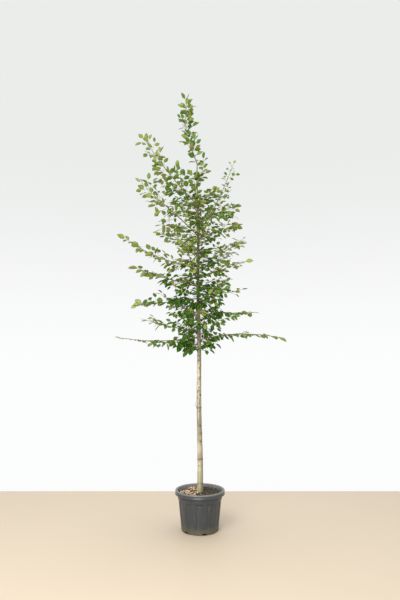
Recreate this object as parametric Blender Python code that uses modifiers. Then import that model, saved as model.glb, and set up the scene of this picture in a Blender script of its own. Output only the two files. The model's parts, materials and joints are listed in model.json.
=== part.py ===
"""A young hornbeam on a clear stem, growing in a round nursery container.

Run it with: blender --background --python part.py
Units are metres and +Z is up. The origin is the middle of the container's flat underside.
The tree's limbs follow from one driving table. The foliage grows on from each limb by a seeded
rule, and each mass of it is fused into one solid that keeps to its own space.
"""

import math
import random
from collections import namedtuple

import bmesh
import bpy
from mathutils import Matrix, Quaternion, Vector
from mathutils.bvhtree import BVHTree
from mathutils.kdtree import KDTree

# ---- clearances
GAP = 0.0003                    # between pieces that touch
MERGE = 0.00001                 # welding distance
LEAF_CLEARANCE = 0.0015         # least room between foliage and any other solid
UP = Vector((0.0, 0.0, 1.0))

# ---- container: a 25 litre nursery pot
POT_STEPS = 36
POT_HEIGHT = 0.278
LIP_RADIUS = 0.1790
LIP_HEIGHT = 0.030
LIP_ROLL = 0.007                # rounding of the lip's outer top corner
LIP_UNDERCUT = 0.005            # how far the lip's underside is drawn in
COLLAR_RADIUS = 0.1605
COLLAR_BOTTOM = 0.212
BODY_TOP_RADIUS = 0.1555
BODY_FOOT_RADIUS = 0.1335
FOOT_ROUND = 0.009
POT_WALL = 0.0040
POT_FLOOR = 0.014
RIM_FUNNEL = 0.010              # how much the inside opens towards the rim
DRAFT = 0.001                   # taper of the lip's and the collar's outsides
EDGE_RISE = 0.004               # height of the bevel under the lip and under the collar
CUTTER_OVERHANG = 0.020
PANEL_COUNT = 12
PANEL_TURN = math.radians(-91.5)
PANEL_ARC = math.radians(19.0)
PANEL_DEPTH = 0.0018
PANEL_FOOT = 0.036
PANEL_STEPS = 3
NOTCH_COUNT = 6
NOTCH_TURN = math.radians(-76.5)
NOTCH_SIZE = (0.040, 0.026, 0.020)  # radial, sideways, up
NOTCH_HEIGHT = 0.010

# ---- compost
SOIL_LEVEL = 0.257
SOIL_FLAT_RADIUS = 0.060
SOIL_FALL = 0.007
SOIL_EDGE_BEVEL = (0.004, 0.003)    # inwards, down

# ---- trunk
TREE_TOP = 3.335
TRUNK_TOP = 2.800
TRUNK_BASE_RADIUS = 0.0205
TRUNK_LEAST_RADIUS = 0.0009
TRUNK_TAPER = 1.0
FLARE_RADIUS = 0.0012
FLARE_HEIGHT = 0.030
TRUNK_LEAN = 0.027
LEADER_BEND = 2.740             # where the leader starts to swing aside
LEADER_SWING = 0.092
LEADER_CURL = 0.80              # share of half a wave that it swings through
WANDER = 0.0025
WANDER_LENGTH = 0.83
TRUNK_RINGS = 20
FOOT_RINGS = (0.0, 0.008, 0.022, 0.050, 0.100)      # heights above the compost
TRUNK_BEVEL = 4                 # twelve sides

# ---- limbs
LIMB_BASE_RADIUS = 0.0029
LIMB_RADIUS_PER_REACH = 0.0032
LIMB_TIP_RADIUS = 0.0012
LIMB_COLLAR = 0.25              # swelling where the limb leaves the trunk
LIMB_COLLAR_LENGTH = 0.020
LIMB_TAPER = 0.8
LIMB_SWAY = 0.012
LIMB_END_LEAF = 0.058           # what the last leaf adds to a limb's own line
BOUGH_POINTS = 5
BOUGH_BEVEL = 1                 # six sides
JOINT_STRAIGHT = 0.006          # straight stretch on both sides of a bough's or the trunk's end
SPACE_SAMPLES = 40
DIRECTION_STEP = 0.01           # share of a limb over which its direction is taken

# ---- foliage
STEM_SPACING = 0.095
STEM_BEVEL = 0                  # four sides
TWIG_SIDES = 3
TWIG_RADIUS = 0.0017
TWIG_TIP_RADIUS = 0.0011
TWIG_LENGTH = 0.150
TWIG_LEAST = 0.050
NODE_SPACING = 0.062
LEADER_CROWDING = 0.62          # the leader's spacing, as a share of the others'
LEAF_SPACING = 0.051
LEAF_LENGTH = 0.076
LEAF_WIDTH = 0.052
LEAF_THICKNESS = 0.0016
LEAF_SUNK = 0.008
LEAF_WIDEST = 0.42              # share of the length, from the root
LEAF_SIZES = (0.82, 1.12)
LEAF_TILT = 0.9                 # how far a leaf's face strays from the sky
LEAF_SWAY = 0.4                 # how far a leaf strays round its twig, in radians
END_LEAF_ANGLE = 0.15
LEAF_BITE = 0.003               # how far an end leaf's root is drawn back into its stem
FIRST_NODE = 0.018
NODE_JITTER = (0.85, 1.10)
TWIG_JITTER = (0.7, 1.2)
TWIG_SHORTENING = 0.7           # how much shorter the twigs at the limb's tip are
TWIG_LIFT = (-0.05, 0.20)
TWIG_CHECK_START = 0.004        # clearance is read from here on, outside the stem
TWIG_ANGLE = math.radians(48)
LEAF_ANGLE = math.radians(52)
ROLL_SPREAD = math.radians(38)

# Each limb leaves the trunk's middle line at a height, heads along an azimuth (0 is +X, 90 is +Y)
# and ends, with its last leaf, at a horizontal reach and a rise. bow lets its middle sag, or arch
# where it is negative.
# bare is the share that is a leafless bough, and a shoot has none. full scales its side twigs.
Limb = namedtuple("Limb", "name height azimuth reach rise bow bare full")

LIMBS = (
    Limb("low_left", 1.375, 175, 0.655, -0.003, 0.025, 0.26, 0.45),
    Limb("low_left_front", 1.412, 207, 0.470, 0.085, 0.005, 0.22, 0.70),
    Limb("low_right", 1.355, 355, 0.655, 0.016, -0.035, 0.26, 0.45),
    Limb("low_right_front", 1.470, 325, 0.360, 0.060, 0.010, 0.22, 0.85),
    Limb("low_back", 1.435, 96, 0.450, 0.040, 0.010, 0.22, 0.80),
    Limb("low_front", 1.500, 264, 0.430, 0.050, 0.010, 0.22, 0.80),
    Limb("middle_right", 1.580, 12, 0.495, -0.010, 0.010, 0.22, 0.65),
    Limb("middle_back_left", 1.612, 122, 0.430, 0.060, 0.010, 0.22, 0.85),
    Limb("middle_left", 1.672, 166, 0.540, -0.040, 0.005, 0.22, 0.75),
    Limb("middle_front_right", 1.655, 292, 0.430, 0.060, 0.010, 0.22, 0.85),
    Limb("middle_right_front", 1.700, 346, 0.390, 0.030, 0.010, 0.22, 0.80),
    Limb("middle_back_right", 1.770, 52, 0.430, 0.110, 0.015, 0.22, 0.80),
    Limb("middle_left_front", 1.762, 197, 0.512, 0.125, 0.010, 0.22, 0.70),
    Limb("middle_right_high", 1.845, 341, 0.425, 0.100, 0.010, 0.22, 0.75),
    Limb("middle_front", 1.868, 252, 0.400, 0.160, 0.015, 0.22, 0.80),
    Limb("upper_left_back", 1.915, 169, 0.640, 0.270, 0.045, 0.26, 0.75),
    Limb("upper_right", 1.935, 17, 0.411, 0.250, 0.020, 0.22, 0.75),
    Limb("upper_back", 1.990, 101, 0.380, 0.190, 0.020, 0.22, 0.80),
    Limb("upper_left_front", 2.040, 212, 0.395, 0.110, -0.020, 0.22, 0.75),
    Limb("upper_front", 2.085, 288, 0.340, 0.230, 0.020, 0.22, 0.80),
    Limb("upper_left", 2.157, 191, 0.489, 0.438, 0.000, 0.22, 0.90),
    Limb("high_right", 2.189, 14, 0.319, 0.635, 0.055, 0.22, 0.90),
    Limb("high_right_front", 2.232, 338, 0.355, 0.150, -0.025, 0.22, 0.80),
    Limb("high_left", 2.405, 173, 0.471, 0.623, 0.030, 0.22, 0.85),
    Limb("shoot_low_left", 1.325, 218, 0.160, -0.075, -0.010, 0.0, 0.55),
    Limb("shoot_low_right", 1.335, 318, 0.175, -0.020, -0.010, 0.0, 0.55),
    Limb("shoot_inner_left", 1.545, 178, 0.250, 0.020, 0.000, 0.0, 0.75),
    Limb("shoot_inner_right", 2.130, 356, 0.350, 0.120, -0.012, 0.0, 0.75),
    Limb("shoot_back", 2.270, 78, 0.250, 0.290, 0.010, 0.0, 0.70),
    Limb("shoot_front", 2.330, 258, 0.220, 0.280, 0.010, 0.0, 0.70),
    Limb("shoot_high_right", 2.400, 32, 0.190, 0.190, 0.000, 0.0, 0.30),
    Limb("shoot_upright", 2.530, 330, 0.075, 0.290, 0.010, 0.0, 0.30),
)
LEADER = Limb("leader", TRUNK_TOP, 180, 0.0, TREE_TOP - TRUNK_TOP - LIMB_END_LEAF,
              0.0, 0.0, 0.80)

# ---- finishes: colour, roughness
FINISHES = {
    "pot_plastic": ((0.095, 0.100, 0.105), 0.55),
    "compost": ((0.130, 0.080, 0.050), 0.95),
    "bark": ((0.330, 0.270, 0.180), 0.85),
    "leaf_green": ((0.110, 0.210, 0.045), 0.60),
}


# ---------------------------------------------------------------- scene helpers
def clear_scene():
    """Remove every object that the file opened with."""
    for old in list(bpy.data.objects):
        bpy.data.objects.remove(old, do_unlink=True)


def make_collection(name):
    collection = bpy.data.collections.new(name)
    bpy.context.scene.collection.children.link(collection)
    return collection


def finish(name):
    """Return the named Principled material, made on its first use."""
    material = bpy.data.materials.get(name)
    if material is None:
        colour, roughness = FINISHES[name]
        material = bpy.data.materials.new(name)
        material.use_nodes = True
        shader = material.node_tree.nodes["Principled BSDF"]
        shader.inputs["Base Color"].default_value = (*colour, 1.0)
        shader.inputs["Roughness"].default_value = roughness
        shader.inputs["Metallic"].default_value = 0.0
    return material


def add_object(name, data, collection, finish_name=None):
    obj = bpy.data.objects.new(name, data)
    collection.objects.link(obj)
    if finish_name:
        obj.data.materials.append(finish(finish_name))
    return obj


def mesh_from(bm, name):
    bmesh.ops.recalc_face_normals(bm, faces=bm.faces)
    mesh = bpy.data.meshes.new(name)
    bm.to_mesh(mesh)
    bm.free()
    return mesh


def evaluated_mesh(obj):
    """Return a new mesh of the object as its modifiers leave it, with its seams welded."""
    depsgraph = bpy.context.evaluated_depsgraph_get()
    mesh = bpy.data.meshes.new_from_object(obj.evaluated_get(depsgraph))
    bm = bmesh.new()
    bm.from_mesh(mesh)
    bmesh.ops.remove_doubles(bm, verts=bm.verts, dist=MERGE)
    bm.to_mesh(mesh)
    bm.free()
    return mesh


def turned(name, profile, steps, collection, finish_name=None):
    """Turn a profile of (radius, height) points round +Z, both its ends being on the axis."""
    bm = bmesh.new()
    points = [bm.verts.new((radius, 0.0, height)) for radius, height in profile]
    for lower, upper in zip(points, points[1:]):
        bm.edges.new((lower, upper))
    mesh = bpy.data.meshes.new(name)
    bm.to_mesh(mesh)
    bm.free()
    obj = add_object(name, mesh, collection, finish_name)
    screw = obj.modifiers.new("Turn", "SCREW")
    screw.steps = steps
    screw.render_steps = steps
    screw.use_merge_vertices = True
    screw.merge_threshold = MERGE
    return obj


def cut(obj, cutter):
    boolean = obj.modifiers.new("Cut", "BOOLEAN")
    boolean.operation = "DIFFERENCE"
    boolean.solver = "EXACT"
    if isinstance(cutter, bpy.types.Collection):
        boolean.operand_type = "COLLECTION"
        boolean.collection = cutter
    else:
        boolean.object = cutter


def mark_cutter(obj):
    obj.hide_render = True
    obj.display_type = "WIRE"


def round_limb(name, points, radii, bevel_resolution, collection, finish_name=None):
    """Make a tapering limb: a bevelled curve through the points, turned into a closed mesh."""
    curve = bpy.data.curves.new(name, "CURVE")
    curve.dimensions = "3D"
    curve.bevel_depth = 1.0
    curve.bevel_resolution = bevel_resolution
    curve.use_fill_caps = True
    curve.twist_mode = "MINIMUM"
    spline = curve.splines.new("POLY")
    spline.points.add(len(points) - 1)
    for target, point, radius in zip(spline.points, points, radii):
        target.co = (*point, 1.0)
        target.radius = radius
    guide = add_object(name + "_line", curve, collection)
    mesh = evaluated_mesh(guide)
    bpy.data.objects.remove(guide)
    mesh.materials.clear()
    return add_object(name, mesh, collection, finish_name)


# ---------------------------------------------------------------- container and compost
def body_radius(height):
    """Outer radius of the container's tapering body."""
    share = (height - FOOT_ROUND) / (COLLAR_BOTTOM - FOOT_ROUND)
    return BODY_FOOT_RADIUS + (BODY_TOP_RADIUS - BODY_FOOT_RADIUS) * share


def quarter_round(centre, radius, start, steps=3):
    """Points of a quarter circle, turning clockwise from the start angle in degrees."""
    angles = [math.radians(start - 90.0 * step / steps) for step in range(steps + 1)]
    return [(centre[0] + radius * math.cos(a), centre[1] + radius * math.sin(a)) for a in angles]


def make_pot(parts, cutters):
    """The container: a turned shell with sunk panels round its side and notches at its foot."""
    lip_bottom = POT_HEIGHT - LIP_HEIGHT
    inner_foot = body_radius(POT_FLOOR) - POT_WALL
    lip_top_corner = (LIP_RADIUS - LIP_ROLL, POT_HEIGHT - LIP_ROLL)
    foot_corner = (BODY_FOOT_RADIUS - FOOT_ROUND, FOOT_ROUND)
    profile = [
        (0.0, POT_FLOOR),
        (inner_foot, POT_FLOOR),
        (body_radius(COLLAR_BOTTOM) - POT_WALL, COLLAR_BOTTOM),
        (COLLAR_RADIUS - POT_WALL, lip_bottom),
        (COLLAR_RADIUS - POT_WALL + RIM_FUNNEL, POT_HEIGHT),
        *quarter_round(lip_top_corner, LIP_ROLL, 90.0),
        (LIP_RADIUS - DRAFT, lip_bottom + EDGE_RISE),
        (LIP_RADIUS - LIP_UNDERCUT, lip_bottom),
        (COLLAR_RADIUS, lip_bottom),
        (COLLAR_RADIUS - DRAFT, COLLAR_BOTTOM + EDGE_RISE),
        (BODY_TOP_RADIUS, COLLAR_BOTTOM),
        *quarter_round(foot_corner, FOOT_ROUND, 0.0, steps=2),
        (0.0, 0.0),
    ]
    pot = turned("pot", profile, POT_STEPS, parts, "pot_plastic")
    for index in range(PANEL_COUNT):
        make_panel_cutter(index, cutters)
    for index in range(NOTCH_COUNT):
        make_notch_cutter(index, cutters)
    cut(pot, cutters)
    return pot


def make_panel_cutter(index, cutters):
    """One curved slab that sinks a panel into the container's side."""
    outside = COLLAR_RADIUS + CUTTER_OVERHANG
    low, high = PANEL_FOOT, COLLAR_BOTTOM - EDGE_RISE
    bm = bmesh.new()
    corners = [(body_radius(low) - PANEL_DEPTH, low), (outside, low),
               (outside, high), (body_radius(high) - PANEL_DEPTH, high)]
    face = bm.faces.new([bm.verts.new((radius, 0.0, height)) for radius, height in corners])
    bmesh.ops.spin(bm, geom=[face, *face.edges, *face.verts], cent=(0, 0, 0), axis=UP,
                   angle=PANEL_ARC, steps=PANEL_STEPS, use_duplicate=False)
    turn = PANEL_TURN + index * math.tau / PANEL_COUNT - PANEL_ARC / 2.0
    bmesh.ops.rotate(bm, verts=bm.verts, cent=(0, 0, 0), matrix=Matrix.Rotation(turn, 3, "Z"))
    mark_cutter(add_object(f"panel_cutter_{index}", mesh_from(bm, "panel_cutter"), cutters))


def make_notch_cutter(index, cutters):
    """One block that opens a drain notch at the container's foot."""
    radial, sideways, tall = NOTCH_SIZE
    bm = bmesh.new()
    bmesh.ops.create_cube(bm, size=1.0)
    bmesh.ops.scale(bm, verts=bm.verts, vec=(radial, sideways, tall))
    middle = Vector((BODY_FOOT_RADIUS, 0.0, NOTCH_HEIGHT - tall / 2.0))
    bmesh.ops.translate(bm, verts=bm.verts, vec=middle)
    turn = NOTCH_TURN + index * math.tau / NOTCH_COUNT
    bmesh.ops.rotate(bm, verts=bm.verts, cent=(0, 0, 0), matrix=Matrix.Rotation(turn, 3, "Z"))
    mark_cutter(add_object(f"notch_cutter_{index}", mesh_from(bm, "notch_cutter"), cutters))


def make_soil(parts):
    """The compost that fills the container, domed a little towards the trunk."""
    rim_level = SOIL_LEVEL - SOIL_FALL
    rim_radius = COLLAR_RADIUS - POT_WALL - 2 * GAP
    inwards, down = SOIL_EDGE_BEVEL
    profile = [
        (0.0, SOIL_LEVEL),
        (SOIL_FLAT_RADIUS, SOIL_LEVEL),
        (rim_radius - inwards, rim_level),
        (rim_radius, rim_level - down),
        (body_radius(COLLAR_BOTTOM) - POT_WALL - 2 * GAP, COLLAR_BOTTOM),
        (body_radius(POT_FLOOR) - POT_WALL - 2 * GAP, POT_FLOOR + GAP),
        (0.0, POT_FLOOR + GAP),
    ]
    return turned("soil", profile, POT_STEPS, parts, "compost")


# ---------------------------------------------------------------- trunk and boughs
def trunk_centre(height):
    """The trunk's middle line: a slight lean, a swinging leader and a faint wander."""
    share = (height - SOIL_LEVEL) / (TREE_TOP - SOIL_LEVEL)
    bent = max(0.0, (height - LEADER_BEND) / (TREE_TOP - LEADER_BEND))
    swing = LEADER_SWING * math.sin(math.pi * LEADER_CURL * bent)
    phase = math.tau * (height - SOIL_LEVEL) / WANDER_LENGTH
    return Vector((-TRUNK_LEAN * share - swing + WANDER * math.sin(phase),
                   WANDER * (1.0 - math.cos(phase)), height))


def trunk_radius(height):
    share = (height - SOIL_LEVEL) / (TREE_TOP - SOIL_LEVEL)
    flare = FLARE_RADIUS * math.exp(-(height - SOIL_LEVEL) / FLARE_HEIGHT)
    return TRUNK_LEAST_RADIUS + TRUNK_BASE_RADIUS * (1.0 - share) ** TRUNK_TAPER + flare


def make_trunk(name, collection, swell=0.0, finish_name=None):
    """The trunk from its flat cut on the compost to its leader, or swollen to make a cutter."""
    foot = SOIL_LEVEL + GAP
    heights = [foot + rise for rise in FOOT_RINGS]
    above = TRUNK_RINGS - len(heights)
    step = (TRUNK_TOP - heights[-1]) / above
    heights += [heights[-1] + step * (index + 1) for index in range(above)]
    points = [trunk_centre(height) for height in heights]
    points[1].x, points[1].y = points[0].x, points[0].y
    radii = [trunk_radius(height) + swell for height in heights]
    points.insert(-1, points[-1] - limb_direction(LEADER, 0.0) * JOINT_STRAIGHT)
    radii.insert(-1, radii[-1])
    return round_limb(name, points, radii, TRUNK_BEVEL, collection, finish_name)


def limb_point(limb, share):
    """A point on a limb's middle line, the share running from 0 at the trunk to 1 at the tip."""
    if limb is LEADER:
        return trunk_centre(limb.height + limb.rise * share)
    heading = math.radians(limb.azimuth)
    outwards = Vector((math.cos(heading), math.sin(heading), 0.0))
    sideways = Vector((-outwards.y, outwards.x, 0.0))
    line = 1.0 - LIMB_END_LEAF / math.hypot(limb.reach, limb.rise)
    arc = 4.0 * share * (1.0 - share)
    sway = LIMB_SWAY * math.sin(math.tau * share) * (1.0 if int(limb.azimuth) % 2 else -1.0)
    return (trunk_centre(limb.height) + outwards * limb.reach * line * share + sideways * sway
            + UP * (limb.rise * line * share - limb.bow * arc))


def limb_direction(limb, share):
    before, after = share - DIRECTION_STEP, share + DIRECTION_STEP
    return (limb_point(limb, after) - limb_point(limb, before)).normalized()


def limb_length(limb):
    steps = 20
    points = [limb_point(limb, index / steps) for index in range(steps + 1)]
    return sum((after - before).length for before, after in zip(points, points[1:]))


def limb_radius(limb, share):
    """A limb's radius, with a collar where it leaves the trunk. The leader tapers on from it."""
    if limb is LEADER:
        return trunk_radius(limb.height + limb.rise * share)
    root = LIMB_BASE_RADIUS + LIMB_RADIUS_PER_REACH * limb_length(limb)
    collar = 1.0 + LIMB_COLLAR * math.exp(-share * limb_length(limb) / LIMB_COLLAR_LENGTH)
    return LIMB_TIP_RADIUS + (root - LIMB_TIP_RADIUS) * (1.0 - share) ** LIMB_TAPER * collar


def make_bough(limb, parts, trunk_cutter):
    """The bare inner stretch of a limb, its root hollowed to the trunk's round."""
    shares = [limb.bare * index / (BOUGH_POINTS - 1) for index in range(BOUGH_POINTS)]
    points = [limb_point(limb, share) for share in shares]
    points[-2] = points[-1] - limb_direction(limb, limb.bare) * JOINT_STRAIGHT
    radii = [limb_radius(limb, share) for share in shares]
    radii[-2] = radii[-1]
    bough = round_limb("bough_" + limb.name, points, radii, BOUGH_BEVEL, parts, "bark")
    cut(bough, trunk_cutter)
    return bough


# ---------------------------------------------------------------- foliage
def leaf_mesh(root, direction, normal, size, swell=0.0):
    """A leaf of eight faces: a flat octahedron, widest below its middle, its root at the root."""
    length = LEAF_LENGTH * size + LEAF_SUNK
    bm = bmesh.new()
    bmesh.ops.create_uvsphere(bm, u_segments=4, v_segments=2, radius=1.0)
    half = (length / 2.0 + swell, LEAF_WIDTH * size / 2.0 + swell, LEAF_THICKNESS / 2.0 + swell)
    bmesh.ops.scale(bm, verts=bm.verts, vec=half)
    for vert in bm.verts:
        if abs(vert.co.x) < half[0] / 2.0:
            vert.co.x += (LEAF_WIDEST - 0.5) * length
    middle = root + direction * (length / 2.0 - LEAF_SUNK)
    across = normal.cross(direction).normalized()
    axes = Matrix((direction, across, direction.cross(across))).transposed()
    bmesh.ops.transform(bm, verts=bm.verts, matrix=Matrix.Translation(middle) @ axes.to_4x4())
    return bm


def twig_mesh(root, direction, length, swell=0.0):
    """A three-sided tapering twig that starts inside its stem."""
    bm = bmesh.new()
    bmesh.ops.create_cone(bm, cap_ends=True, segments=TWIG_SIDES, radius1=TWIG_RADIUS + swell,
                          radius2=TWIG_TIP_RADIUS + swell, depth=length)
    bmesh.ops.translate(bm, verts=bm.verts, vec=(0.0, 0.0, length / 2.0))
    turn = UP.rotation_difference(direction).to_matrix().to_4x4()
    bmesh.ops.transform(bm, verts=bm.verts, matrix=Matrix.Translation(root) @ turn)
    return bm


def tree_of(bm):
    bvh = BVHTree.FromBMesh(bm)
    bm.free()
    return bvh


def tree_of_object(obj):
    bm = bmesh.new()
    bm.from_mesh(obj.data)
    return tree_of(bm)


def limb_spaces():
    """Sample every limb's line, so that a point's nearest sample tells whose space it is in."""
    limbs = LIMBS + (LEADER,)
    samples = KDTree(len(limbs) * SPACE_SAMPLES)
    owners = []
    for limb in limbs:
        for index in range(SPACE_SAMPLES):
            samples.insert(limb_point(limb, (index + 1) / SPACE_SAMPLES), len(owners))
            owners.append(limb.name)
    samples.balance()
    return samples, owners


class Foliage:
    """Grows one limb's twigs and leaves, keeping them to the limb's space and off every solid."""

    def __init__(self, limb, spaces, solids):
        self.limb = limb
        self.samples, self.owners = spaces
        self.solids = solids
        self.rng = random.Random(limb.name)
        self.pieces = []

    def in_space(self, point):
        _, index, _ = self.samples.find(point)
        return self.owners[index] == self.limb.name

    def is_clear(self, swollen):
        tree = tree_of(swollen)
        return not any(tree.overlap(solid) for solid in self.solids)

    def turned_aside(self, along, angle, roll):
        """Lean away from a stem's direction by the angle, on the side that the roll gives."""
        level = UP.cross(along)
        level = level.normalized() if level.length > 0.3 else Vector((0.0, 1.0, 0.0))
        side = Quaternion(along, roll) @ (level - along * level.dot(along)).normalized()
        return (along * math.cos(angle) + side * math.sin(angle)).normalized()

    def add_leaf(self, root, along, angle, roll):
        direction = self.turned_aside(along, angle, roll)
        size = self.rng.uniform(*LEAF_SIZES)
        facing = UP + Vector([self.rng.uniform(-LEAF_TILT, LEAF_TILT) for _ in range(3)])
        normal = (facing - direction * facing.dot(direction)).normalized()
        tip = root + direction * LEAF_LENGTH * size
        if not self.in_space(tip) or not self.in_space(root.lerp(tip, 0.5)):
            return
        if self.is_clear(leaf_mesh(root, direction, normal, size, LEAF_CLEARANCE)):
            self.pieces.append(leaf_mesh(root, direction, normal, size))

    def add_twig(self, root, along, roll, length):
        """A side twig with alternate leaves and one at its end."""
        direction = self.turned_aside(along, TWIG_ANGLE * self.rng.uniform(0.8, 1.2), roll)
        direction = (direction + UP * self.rng.uniform(*TWIG_LIFT)).normalized()
        tip = root + direction * length
        start = root + direction * TWIG_CHECK_START
        if not self.in_space(tip) or not self.is_clear(
                twig_mesh(start, direction, length, LEAF_CLEARANCE)):
            self.add_leaf(root, along, LEAF_ANGLE, roll)
            return
        self.pieces.append(twig_mesh(root, direction, length))
        turn = self.rng.uniform(-ROLL_SPREAD, ROLL_SPREAD)
        place = self.rng.uniform(0.55, 0.9) * LEAF_SPACING
        side = 0.0
        while place < length - 0.4 * LEAF_SPACING:
            self.add_leaf(root + direction * place, direction, LEAF_ANGLE,
                          turn + side + self.rng.uniform(-LEAF_SWAY, LEAF_SWAY))
            side += math.pi
            place += LEAF_SPACING * self.rng.uniform(0.9, 1.15)
        self.add_leaf(tip - direction * 0.002, direction, self.rng.uniform(0.05, 0.35), turn + side)

    def grow(self, upright=False):
        """Alternate side twigs along the stem, shorter towards its tip, which ends in a leaf."""
        limb = self.limb
        first_share = limb.bare
        length = limb_length(limb)
        spacing = NODE_SPACING / length * (LEADER_CROWDING if upright else 1.0)
        share = first_share + FIRST_NODE / length
        roll = self.rng.uniform(-ROLL_SPREAD, ROLL_SPREAD)
        while share < 1.0 - 0.3 * spacing:
            progress = (share - first_share) / (1.0 - first_share)
            root = stem_point(limb, share)
            along = limb_direction(limb, share)
            spread = roll + self.rng.uniform(-ROLL_SPREAD, ROLL_SPREAD)
            twig = TWIG_LENGTH * limb.full * (1.0 - TWIG_SHORTENING * progress)
            twig *= self.rng.uniform(*TWIG_JITTER)
            if twig > TWIG_LEAST:
                self.add_twig(root, along, spread, twig)
            else:
                self.add_leaf(root, along, LEAF_ANGLE, spread)
            roll += math.pi + (math.radians(55) if upright else 0.0)
            share += spacing * self.rng.uniform(*NODE_JITTER)
        along = limb_direction(limb, 1.0 - DIRECTION_STEP)
        self.add_leaf(limb_point(limb, 1.0) - along * LEAF_BITE, along, END_LEAF_ANGLE, roll)


def stem_shares(limb):
    """The shares of a limb at which its mass's stem has a point."""
    steps = max(2, round((1.0 - limb.bare) * limb_length(limb) / STEM_SPACING))
    return [limb.bare + (1.0 - limb.bare) * index / steps for index in range(steps + 1)]


def stem_point(limb, share):
    """A point on the straight stretches of a mass's stem, where its twigs and leaves root."""
    shares = stem_shares(limb)
    index = 0
    while share > shares[index + 1] and index + 2 < len(shares):
        index += 1
    part = (share - shares[index]) / (shares[index + 1] - shares[index])
    return limb_point(limb, shares[index]).lerp(limb_point(limb, shares[index + 1]), part)


def make_stem(limb, parts, trunk_cutter):
    """A mass's own stem: the outer stretch of its limb, just clear of the bough or the trunk."""
    shares = stem_shares(limb)
    points = [limb_point(limb, share) for share in shares]
    radii = [limb_radius(limb, share) for share in shares]
    if limb.bare > 0.0 or limb is LEADER:
        direction = limb_direction(limb, limb.bare)
        points[0] = points[0] + direction * GAP
        points.insert(1, points[0] + direction * JOINT_STRAIGHT)
        radii.insert(1, radii[0])
    stem = round_limb("foliage_" + limb.name, points, radii, STEM_BEVEL, parts, "leaf_green")
    if limb.bare == 0.0 and limb is not LEADER:
        cut(stem, trunk_cutter)
        stem.data = evaluated_mesh(stem)
        stem.modifiers.clear()
    return stem


def volume_of(bm_faces):
    """Signed volume inside a set of faces, negative for a sealed hollow's wall."""
    total = 0.0
    for face in bm_faces:
        first = face.verts[0].co
        for second, third in zip(face.verts[1:], face.verts[2:]):
            total += first.dot(second.co.cross(third.co)) / 6.0
    return total


def keep_largest_shell(mesh):
    """Drop loose scraps and fill sealed hollows by keeping only the largest connected shell."""
    bm = bmesh.new()
    bm.from_mesh(mesh)
    bmesh.ops.remove_doubles(bm, verts=bm.verts, dist=MERGE)
    unseen = set(bm.faces)
    shells = []
    while unseen:
        queue = [unseen.pop()]
        shell = list(queue)
        while queue:
            for edge in queue.pop().edges:
                for face in edge.link_faces:
                    if face in unseen:
                        unseen.remove(face)
                        queue.append(face)
                        shell.append(face)
        shells.append(shell)
    shells.sort(key=volume_of, reverse=True)
    spare = [face for shell in shells[1:] for face in shell]
    bmesh.ops.delete(bm, geom=spare, context="FACES")
    bm.to_mesh(mesh)
    bm.free()


def fuse(stem, pieces):
    """Join twigs and leaves to their stem with one Boolean union on a collection."""
    group = make_collection(stem.name + "_pieces")
    for index, bm in enumerate(pieces):
        add_object(f"{stem.name}_{index}", mesh_from(bm, "piece"), group)
    union = stem.modifiers.new("Fuse", "BOOLEAN")
    union.operation = "UNION"
    union.operand_type = "COLLECTION"
    union.collection = group
    union.solver = "MANIFOLD"
    mesh = evaluated_mesh(stem)
    stem.modifiers.clear()
    mesh.materials.clear()
    mesh.materials.append(finish("leaf_green"))
    keep_largest_shell(mesh)
    stem.data = mesh
    for piece in list(group.objects):
        bpy.data.objects.remove(piece)
    bpy.data.collections.remove(group)


def make_foliage(limb, parts, trunk_cutter, spaces, solids):
    foliage = Foliage(limb, spaces, solids)
    foliage.grow(upright=limb is LEADER)
    stem = make_stem(limb, parts, trunk_cutter)
    fuse(stem, foliage.pieces)
    solids.append(tree_of_object(stem))


# ---------------------------------------------------------------- the whole plant
def main():
    clear_scene()
    parts = make_collection("hornbeam")
    pot_cutters = make_collection("pot_cutters")
    guides = make_collection("guides")
    make_pot(parts, pot_cutters)
    make_soil(parts)
    trunk = make_trunk("trunk", parts, finish_name="bark")
    trunk_cutter = make_trunk("trunk_cutter", guides, swell=GAP)
    mark_cutter(trunk_cutter)

    solids = [tree_of_object(trunk)]
    for limb in LIMBS:
        if limb.bare > 0.0:
            solids.append(tree_of_object(make_bough(limb, parts, trunk_cutter)))
    spaces = limb_spaces()
    for limb in LIMBS + (LEADER,):
        make_foliage(limb, parts, trunk_cutter, spaces, solids)


main()
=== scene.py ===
"""A potted young hornbeam, dressed for its picture.

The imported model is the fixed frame, in metres with +Z up. Each class below builds and dresses one
part of the plant in that frame: the container, its compost, the wood from the trunk to the twigs,
and the leaves. The limbs follow the model's own driving table, carried on to finer twigs.
"""

from __future__ import annotations

import json
import logging
import math
import random
from collections.abc import Callable, Iterable, Sequence
from dataclasses import dataclass, field
from enum import Enum

import bmesh
import bpy
from mathutils import Matrix, Quaternion, Vector, noise
from mathutils.kdtree import KDTree

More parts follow.
